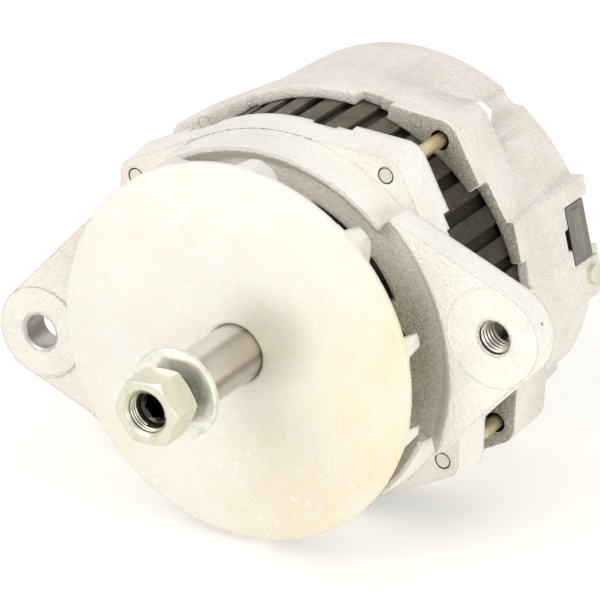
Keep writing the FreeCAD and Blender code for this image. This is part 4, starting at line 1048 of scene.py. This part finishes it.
class Recipe:
    """A Geometry Nodes tree in the making."""

    def __init__(self, name: str, inputs: dict[str, str]) -> None:
        """Start a tree.

        Args:
            name: The tree's name.
            inputs: Kind of each input's socket by the input's name.
        """
        self.tree = bpy.data.node_groups.new(name, "GeometryNodeTree")
        for title, kind in inputs.items():
            self.tree.interface.new_socket(title, in_out="INPUT",
                                           socket_type=f"NodeSocket{kind}")
        self.tree.interface.new_socket("Geometry", in_out="OUTPUT",
                                       socket_type="NodeSocketGeometry")
        self.given = self.tree.nodes.new("NodeGroupInput").outputs

    def step(self, kind: str, inputs: dict[str | int, object],
             **settings: object) -> bpy.types.NodeSocket:
        """Add a node.

        Args:
            kind: The node's type.
            inputs: Values or links by the input's name or number.
            settings: Attributes of the node.

        Returns:
            Its first output.
        """
        item = self.tree.nodes.new(kind)
        for key, value in settings.items():
            setattr(item, key, value)
        for key, value in inputs.items():
            if isinstance(value, bpy.types.NodeSocket):
                self.tree.links.new(value, item.inputs[key])
            else:
                item.inputs[key].default_value = value
        return item.outputs[0]

    def sweep(self, path: bpy.types.NodeSocket, radius: bpy.types.NodeSocket,
              corners: int) -> bpy.types.NodeSocket:
        """Sweep a regular outline along a path and close its ends.

        Args:
            path: The path.
            radius: Radius of the outline's corners.
            corners: Number of the outline's corners.

        Returns:
            The swept shape.
        """
        outline = self.step("GeometryNodeCurvePrimitiveCircle",
                            {"Resolution": corners, "Radius": radius}, mode="RADIUS")
        return self.step("GeometryNodeCurveToMesh", {
            "Curve": path, "Profile Curve": outline, "Fill Caps": True,
        })

    def finish(self, shape: bpy.types.NodeSocket) -> bpy.types.NodeTree:
        """End the tree with real geometry in one material.

        Args:
            shape: The geometry.

        Returns:
            The finished tree.
        """
        real = self.step("GeometryNodeRealizeInstances", {0: shape})
        dressed = self.step("GeometryNodeSetMaterial", {"Geometry": real,
                                                        "Material": self.given["Finish"]})
        output = self.tree.nodes.new("NodeGroupOutput")
        self.tree.links.new(dressed, output.inputs["Geometry"])
        return self.tree


@cache
def thread_recipe(resolution: int = 40, corners: int = 4) -> bpy.types.NodeTree:
    """Wind a sharp ridge along the shaft's direction.

    Args:
        resolution: Points in each turn.
        corners: Corners of the ridge's section.

    Returns:
        The tree.
    """
    recipe = Recipe("thread_turns", {
        "Ridge Line": "Float", "Half Width": "Float", "Length": "Float", "Turns": "Float",
        "Start": "Vector", "Finish": "Material",
    })
    given = recipe.given
    path = recipe.step("GeometryNodeCurveSpiral", {
        "Resolution": resolution, "Rotations": given["Turns"],
        "Start Radius": given["Ridge Line"], "End Radius": given["Ridge Line"],
        "Height": given["Length"],
    })
    upright = recipe.step("GeometryNodeSetCurveNormal", {"Curve": path}, mode="Z_UP")
    wound = recipe.sweep(upright, given["Half Width"], corners)
    sharp = recipe.step("GeometryNodeSetShadeSmooth",
                        {"Geometry": wound, "Shade Smooth": False})
    laid = recipe.step("GeometryNodeTransform", {
        "Geometry": sharp, "Translation": given["Start"], "Rotation": (-math.pi / 2, 0.0, 0.0),
    })
    return recipe.finish(laid)


def hairpin_recipe(resolution: int = 12, corners: int = 8) -> bpy.types.NodeTree:
    """Set bent wires in a ring round the shaft.

    Args:
        resolution: Points along each wire.
        corners: Corners of the wire's section.

    Returns:
        The tree.
    """
    recipe = Recipe("hairpin_ring", {
        "Count": "Int", "Step": "Float", "Wire": "Float", "First Foot": "Vector",
        "First Bend": "Vector", "Second Bend": "Vector", "Second Foot": "Vector",
        "Finish": "Material",
    })
    given = recipe.given
    path = recipe.step("GeometryNodeCurvePrimitiveBezierSegment", {
        "Resolution": resolution, "Start": given["First Foot"],
        "Start Handle": given["First Bend"], "End Handle": given["Second Bend"],
        "End": given["Second Foot"],
    })
    wire = recipe.sweep(path, given["Wire"], corners)
    spots = recipe.step("GeometryNodePoints", {"Count": given["Count"]})
    index = recipe.step("GeometryNodeInputIndex", {})
    turn = recipe.step("ShaderNodeMath", {0: index, 1: given["Step"]}, operation="MULTIPLY")
    turned = recipe.step("ShaderNodeCombineXYZ", {1: turn})
    ring = recipe.step("GeometryNodeInstanceOnPoints",
                       {"Points": spots, "Instance": wire, "Rotation": turned})
    return recipe.finish(ring)


@dataclass(frozen=True)
class Thread:
    """A ridge wound between two stations, with its middle at a radius."""

    radius: float
    half_width: float
    pitch: float
    front: float
    rear: float

    def wind(self, bench: Bench, name: str, finish: Finish,
             line: Pair = SHAFT_LINE) -> bpy.types.Object:
        """Wind the thread.

        Args:
            bench: The bench.
            name: Name of the piece.
            finish: Its finish.
            line: The line that it runs round.

        Returns:
            The piece.
        """
        length = self.rear - self.front - self.half_width * 2
        return bench.grow(name, thread_recipe(), {
            "Ridge Line": self.radius, "Half Width": self.half_width, "Length": length,
            "Turns": length / self.pitch,
            "Start": (line[0], self.front + self.half_width, line[1]),
            "Finish": bench.paint.material(finish),
        })


@dataclass
class ShaftNose:
    """Threaded end of the shaft with its nut and washer, and the bare pulley seat."""

    bench: Bench
    nose: Thread = Thread(radius=7.24 * MM, half_width=0.70 * MM, pitch=1.407 * MM,
                          front=-34.6 * MM, rear=-21.9 * MM)
    nut: Thread = Thread(radius=7.72 * MM, half_width=0.50 * MM, pitch=1.41 * MM,
                         front=-39.4 * MM, rear=-34.6 * MM)
    nose_from: float = -25.0 * MM
    nose_depth: float = 2.4 * MM

    def build(self) -> None:
        """Dress the nodes, and wind the threads of nose and nut."""
        self.bench.dress({"rotor_shaft": Finish.SHAFT, "shaft_washer": Finish.WASHER_ZINC,
                          "shaft_nut": Finish.NUT_ZINC, "fan_collar": Finish.STEEL})
        for piece in (self.nose.wind(self.bench, "nose_thread", Finish.THREAD),
                      self.nut.wind(self.bench, "nut_thread", Finish.PALE_ZINC)):
            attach(piece, "rotor")
        self._shaft()

    def _shaft(self) -> None:
        """Set the shaft's end as deep in the nut as it is seen there."""
        piece = self.bench.twin("rotor_shaft", "shaft_forging")
        for corner in piece.data.vertices:
            if corner.co.y < self.nose_from:
                corner.co.y += self.nose_depth
        self.bench.paint.dress(piece, Finish.SHAFT)
        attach(piece, "rotor")
        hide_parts("rotor_shaft")


@dataclass
class Softener:
    """Rounds the sharp edges of a casting, and draws back where a face has no room."""

    bench: Bench
    radius: float
    split: bool = False
    segments: int = 2
    sharp: float = math.radians(28.0)
    smooth: float = math.radians(36.0)
    share: float = 0.42
    tip: float = math.radians(10.0)
    least_tip: float = math.radians(0.1)
    tip_room: float = 1.5
    speck: float = 2e-4 * MM * MM
    turned: float = -0.1
    stray: float = 0.9
    reach: float = 1.6
    rounds: int = 8

    def soften(self, node: str, name: str, finish: Finish) -> bpy.types.Object:
        """Make a rounded copy of a casting.

        Args:
            node: The casting's node.
            name: The new piece's name.
            finish: The casting's finish.

        Returns:
            The new piece.
        """
        piece = self.bench.copy(node, name)
        shape = bmesh.new()
        shape.from_mesh(piece.data)
        surface = BVHTree.FromBMesh(shape)
        corners = KDTree(len(shape.verts))
        for corner in shape.verts:
            corners.insert(corner.co, corner.index)
        corners.balance()
        widths = self._widths(shape)
        reach = self.radius * self.reach
        for _ in range(self.rounds):
            rounded = self._round(shape, widths)
            faults = self._faults(rounded, surface)
            if not faults:
                break
            dropped = self._draw_back(shape, widths, corners, faults, reach)
            if not dropped:
                reach *= self.reach
        shape.free()
        piece.data = rounded
        rounded.shade_smooth()
        rounded.set_sharp_from_angle(angle=self.smooth)
        self.bench.paint.dress(piece, finish)
        LOG.info("rounded %d edges of %s, %d faults", len(widths), node, len(faults))
        return piece

    def _widths(self, shape: bmesh.types.BMesh) -> dict[int, float]:
        """Choose how far each sharp edge may be rounded.

        Args:
            shape: The joined casting.

        Returns:
            The share of the full radius for each edge's index.
        """
        shape.edges.ensure_lookup_table()
        shape.verts.ensure_lookup_table()
        widths = {}
        for edge in shape.edges:
            if edge.calc_face_angle(0.0) > self.sharp:
                start = edge.verts[0].co
                along = (edge.verts[1].co - start).normalized()
                room = min(max((corner.co - start).cross(along).length for corner in face.verts)
                           for face in edge.link_faces)
                widths[edge.index] = min(1.0, room * self.share / self.radius)
        for face in shape.faces:
            self._spare_tips(face, widths)
        return widths

    def _spare_tips(self, face: bmesh.types.BMFace, widths: dict[int, float]) -> None:
        """Leave the narrow tips of a face unrounded.

        Args:
            face: The face.
            widths: The shares, which lose the edges at the tips.
        """
        for tip in face.loops:
            before = tip.link_loop_prev.vert.co - tip.vert.co
            after = tip.link_loop_next.vert.co - tip.vert.co
            angle = before.angle(after)
            if angle < self.tip and after.cross(before).dot(face.normal) > 0.0:
                narrow = math.tan(max(angle, self.least_tip) / 2.0)
                span = self.tip_room * self.radius / narrow
                for corner in face.loops:
                    if (corner.vert.co - tip.vert.co).length < span:
                        widths.pop(corner.edge.index, None)
                        widths.pop(corner.link_loop_prev.edge.index, None)

    def _round(self, shape: bmesh.types.BMesh, widths: dict[int, float]) -> bpy.types.Mesh:
        """Round the chosen edges of a copy.

        Args:
            shape: The joined casting.
            widths: The share of the full radius for each edge's index.

        Returns:
            The rounded mesh.
        """
        trial = shape.copy()
        trial.edges.ensure_lookup_table()
        weights = trial.edges.layers.float.new("bevel_weight_edge")
        for index, width in widths.items():
            trial.edges[index][weights] = width
        if self.split:
            bmesh.ops.triangulate(trial, faces=trial.faces)
        mesh = bpy.data.meshes.new("trial")
        trial.to_mesh(mesh)
        trial.free()
        holder = stand("trial", mesh)
        rounding = holder.modifiers.new("rounding", "BEVEL")
        rounding.limit_method = "WEIGHT"
        rounding.width = self.radius
        rounding.segments = self.segments
        rounding.use_clamp_overlap = False
        rounded = settled(holder)
        bpy.data.objects.remove(holder)
        bpy.data.meshes.remove(mesh)
        return rounded

    def _faults(self, mesh: bpy.types.Mesh, surface: BVHTree) -> list[Vector]:
        """Find the corners of triangles that turned over or left the casting.

        Args:
            mesh: The rounded mesh.
            surface: The casting's own surface.

        Returns:
            The corners' places.
        """
        mesh.calc_loop_triangles()
        faults = []
        for triangle in mesh.loop_triangles:
            first, second, third = (mesh.vertices[index].co for index in triangle.vertices)
            across = (second - first).cross(third - first)
            if across.length < self.speck:
                continue
            _, normal, _, distance = surface.find_nearest((first + second + third) / 3.0)
            turned = across.dot(normal) < self.turned * across.length
            if turned or distance > self.stray * self.radius:
                faults += [first.copy(), second.copy(), third.copy()]
        return faults

    @staticmethod
    def _draw_back(shape: bmesh.types.BMesh, widths: dict[int, float], corners: KDTree,
                   faults: list[Vector], reach: float) -> int:
        """Leave the edges near the faults unrounded.

        Args:
            shape: The joined casting.
            widths: The shares, which lose the edges near the faults.
            corners: The casting's corners.
            faults: Places of the faults.
            reach: How near an edge's corner must be.

        Returns:
            How many edges were left out.
        """
        before = len(widths)
        for place in faults:
            _, index, distance = corners.find(place)
            if distance < reach:
                for edge in shape.verts[index].link_edges:
                    widths.pop(edge.index, None)
        return before - len(widths)


@dataclass
class Fan:
    """Open cast fan in front of the drive end frame."""

    bench: Bench
    rounding: float = 0.6 * MM

    def build(self) -> None:
        """Round and dress the casting."""
        self.bench.dress({"fan": Finish.FAN})
        softener = Softener(self.bench, self.rounding, split=True)
        piece = softener.soften("fan", "fan_casting", Finish.FAN)
        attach(piece, "rotor")
        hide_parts("fan")


@dataclass
class DriveEnd:
    """Front casting with its ears, the steel bushing and the front bearing."""

    bench: Bench
    thread: Thread = Thread(radius=6.15 * MM, half_width=0.55 * MM, pitch=1.95 * MM,
                            front=38.0 * MM, rear=48.8 * MM)

    def build(self) -> None:
        """Dress the nodes and wind the ear's thread."""
        self.bench.dress({
            "drive_end_frame": Finish.DRIVE_FRAME, "ear_bushing": Finish.BUSHING,
            "bearing_retainer": Finish.STEEL, "retainer_screws": Finish.PALE_ZINC,
            "front_bearing_outer_race": Finish.BEARING,
            "front_bearing_inner_race": Finish.BEARING, "front_bearing_seals": Finish.RUBBER,
        })
        piece = self.thread.wind(self.bench, "ear_thread", Finish.CUT, EAR_LINE)
        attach(piece, "housing")


@dataclass
class Stator:
    """Stack of laminations with its windings, held by four long bolts."""

    bench: Bench
    slots: int = 36
    pitch_slots: int = 3
    wire: float = 1.45 * MM
    inner: float = 55.4 * MM
    outer: float = 63.6 * MM
    front_foot: float = 66.5 * MM
    front_far: float = 59.3 * MM
    rear_foot: float = 102.0 * MM
    rear_far: float = 113.2 * MM
    handle_share: float = 4.0 / 3.0

    def build(self) -> None:
        """Dress the nodes and bend the end turns."""
        self.bench.dress({"stator_core": Finish.LAMINATIONS, "stator_windings": Finish.COPPER,
                          "through_bolts": Finish.YELLOW_ZINC})
        tree = hairpin_recipe()
        ends = (("end_turns_front", self.front_foot, self.front_far),
                ("end_turns_rear", self.rear_foot, self.rear_far))
        pieces = [self._end_turns(tree, *end) for end in ends]
        for piece in pieces:
            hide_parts("stator_windings")

    def _spot(self, radius: float, station: float, slot: float) -> Triple:
        """Place a point of a wire, at a radius and a station in line with a slot."""
        angle = slot * math.tau / self.slots
        return radius * math.cos(angle), station, radius * math.sin(angle)

    def _end_turns(self, tree: bpy.types.NodeTree, name: str, foot: float,
                   far: float) -> bpy.types.Object:
        """Bend one end's ring of wires.

        Args:
            tree: The tree that sets the wires round the shaft.
            name: Name of the piece.
            foot: Station where the wires leave the core.
            far: Station of their bends.

        Returns:
            The piece.
        """
        handle = foot + (far - foot) * self.handle_share
        piece = self.bench.grow(name, tree, {
            "Count": self.slots, "Step": math.tau / self.slots, "Wire": self.wire,
            "First Foot": self._spot(self.inner, foot, 0.0),
            "First Bend": self._spot(self.inner, handle, 0.0),
            "Second Bend": self._spot(self.outer, handle, self.pitch_slots),
            "Second Foot": self._spot(self.outer, foot, self.pitch_slots),
            "Finish": self.bench.paint.material(Finish.COPPER),
        })
        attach(piece, "housing")
        return piece


@dataclass
class Rotor:
    """Claw poles, field coil and slip rings on the shaft."""

    bench: Bench

    def build(self) -> None:
        """Dress the nodes."""
        self.bench.dress({
            "front_pole": Finish.FORGED, "rear_pole": Finish.FORGED,
            "field_coil": Finish.COPPER, "slip_rings": Finish.COPPER,
            "slip_ring_sleeve": Finish.BLACK_PLASTIC,
        })


@dataclass
class RearEnd:
    """Rear casting with its bearing, brush gear, rectifier, regulator and terminals."""

    bench: Bench
    rounding: float = 0.9 * MM
    spring_top: float = 41.5 * MM
    spring_keep: float = 0.58
    stud_circle: float = 48.0 * MM
    stud_turn: float = math.radians(217.5 + LEAN)
    stud: Thread = Thread(radius=2.48 * MM, half_width=0.50 * MM, pitch=1.0 * MM,
                          front=158.4 * MM, rear=173.9 * MM)

    def build(self) -> None:
        """Dress the nodes, round the casting, and make the springs and the stud's thread."""
        self.bench.dress({
            "rear_frame": Finish.FRAME, "rear_bearing_shell": Finish.BEARING,
            "rear_bearing_needles": Finish.BEARING, "rear_bearing_cage": Finish.STEEL,
            "rectifier_heat_sink": Finish.SINK, "rectifier_diodes": Finish.PALE_ZINC,
            "output_stud": Finish.PALE_ZINC, "output_nut": Finish.PALE_ZINC,
            "output_insulator": Finish.BLACK_PLASTIC, "voltage_regulator": Finish.BLACK_PLASTIC,
            "connector_plate": Finish.GREY_PLASTIC, "relay_terminal": Finish.PALE_ZINC,
            "ground_screw": Finish.PALE_ZINC, "capacitor": Finish.PALE_ZINC,
            "brush_front": Finish.CARBON, "brush_rear": Finish.CARBON,
            "brush_spring_front": Finish.STEEL, "brush_spring_rear": Finish.STEEL,
            "brush_holder": Finish.BLACK_PLASTIC,
        })
        softener = Softener(self.bench, self.rounding)
        casting = softener.soften("rear_frame", "rear_casting", Finish.FRAME)
        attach(casting, "housing")
        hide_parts("rear_frame")
        for end in ("front", "rear"):
            self._spring(end)
        self._stud_thread()

    def _spring(self, end: str) -> None:
        """Copy a brush spring into a piece of its own.

        Args:
            end: Which of the two brushes it pushes.
        """
        node = f"brush_spring_{end}"
        piece = self.bench.copy(node, f"coil_{end}")
        self.bench.paint.dress(piece, Finish.STEEL)
        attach(piece, "housing")
        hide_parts(node)
        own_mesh(piece)

    def _stud_thread(self) -> None:
        """Wind the thread of the output stud behind its nut."""
        line = (self.stud_circle * math.cos(self.stud_turn),
                self.stud_circle * math.sin(self.stud_turn))
        piece = self.stud.wind(self.bench, "stud_thread", Finish.PALE_ZINC, line)
        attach(piece, "housing")


@dataclass(frozen=True)
class Lamp:
    """One square lamp: its place and width in metres, power in watts, and colour."""

    name: str
    place: Triple
    size: float
    power: float
    colour: Triple

    def hang(self, aim: Vector) -> None:
        """Hang the lamp so that it faces a point.

        Args:
            aim: The point.
        """
        data = bpy.data.lights.new(self.name, "AREA")
        data.shape = "SQUARE"
        data.size = self.size
        data.energy = self.power
        data.color = self.colour
        lamp = stand(self.name, data)
        lamp.location = self.place
        facing = aim - Vector(self.place)
        lamp.rotation_euler = facing.to_track_quat("-Z", "Y").to_euler()


@dataclass
class Studio:
    """White table, soft lamps and the camera of the photograph."""

    aim: Triple = (0.015671, 0.038088, 0.017737)
    turn: float = math.radians(31.73)
    rise: float = math.radians(24.827)
    roll: float = math.radians(0.326)
    reach: float = 2.39147
    lens: float = 396.96
    sensor: float = 36.0
    farthest: float = 20.0
    floor_half: float = 3.0
    floor_colour: Colour = (1.0, 0.985, 0.95, 1.0)
    glow_colour: Colour = (1.0, 0.99, 0.955, 1.0)
    glow: float = 1.17
    glow_share: float = 0.42
    room_colour: Colour = (1.0, 0.99, 0.97, 1.0)
    room: float = 0.55
    lamps: tuple[Lamp, ...] = (
        Lamp("key", (-0.7, -1.5, 1.2), size=1.7, power=25.0, colour=(1.0, 0.985, 0.96)),
        Lamp("over", (0.2, 0.4, 1.7), size=1.4, power=8.0, colour=(1.0, 0.985, 0.965)),
        Lamp("right", (1.6, -0.5, 0.25), size=1.0, power=15.0, colour=(1.0, 0.985, 0.965)),
    )

    def build(self) -> None:
        """Make floor, world, lamps and camera."""
        self._floor()
        self._world()
        for lamp in self.lamps:
            lamp.hang(Vector(self.aim))
        self._camera()

    def _floor(self) -> None:
        """Lay a large white table under the part, with its shadow kept."""
        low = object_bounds()[0][2]
        half = self.floor_half
        mesh = bpy.data.meshes.new("table")
        corners = [(-half, -half, low), (half, -half, low), (half, half, low),
                   (-half, half, low)]
        mesh.from_pydata(corners, [], [(0, 1, 2, 3)])
        tree = Tree.of_material("table_white")
        shade = tree.node("ShaderNodeBsdfDiffuse", {"Color": self.floor_colour})
        glow = tree.node("ShaderNodeEmission", {"Color": self.glow_colour,
                                                "Strength": self.glow})
        both = tree.node("ShaderNodeMixShader", {0: self.glow_share, 1: shade, 2: glow})
        mesh.materials.append(tree.close(both))
        table = stand("table", mesh)
        table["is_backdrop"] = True

    def _world(self) -> None:
        """Fill the room with soft white light, and show plain white to camera and mirrors."""
        tree = Tree(bpy.data.worlds.new("room"), "ShaderNodeOutputWorld")
        room = tree.node("ShaderNodeBackground", {"Color": self.room_colour,
                                                  "Strength": self.room})
        seen = tree.node("ShaderNodeBackground", {"Color": WHITE, "Strength": 1.0})
        camera, mirror, glass = (
            tree.node("ShaderNodeLightPath", out=f"Is {kind} Ray")
            for kind in ("Camera", "Glossy", "Transmission"))
        straight = camera.either(mirror.either(glass))
        both = tree.node("ShaderNodeMixShader", {0: straight, 1: room, 2: seen})
        bpy.context.scene.world = tree.close(both)

    def _camera(self) -> None:
        """Stand the camera where the photograph was taken."""
        level = math.cos(self.rise)
        back = Vector((math.sin(self.turn) * level, -math.cos(self.turn) * level,
                       math.sin(self.rise)))
        data = bpy.data.cameras.new("camera")
        data.lens = self.lens
        data.sensor_width = self.sensor
        data.clip_end = self.farthest
        camera = stand("camera", data)
        camera.location = Vector(self.aim) + back * self.reach
        pointing = back.to_track_quat("Z", "Y").to_matrix().to_4x4()
        pointing = pointing @ Matrix.Rotation(self.roll, 4, Vector((0, 0, 1)))
        camera.rotation_euler = pointing.to_euler()
        bpy.context.scene.camera = camera


def main() -> None:
    """Build the dressed alternator and its studio."""
    logging.basicConfig(level=logging.INFO)
    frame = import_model()
    bpy.context.scene.view_settings.view_transform = "Standard"
    bench = Bench(frame["nodes"], Paint())
    for kind in (ShaftNose, Fan, DriveEnd, Stator, Rotor, RearEnd):
        kind(bench).build()
        LOG.info("built %s", kind.__name__)
    Studio().build()


if __name__ == "__main__":
    main()
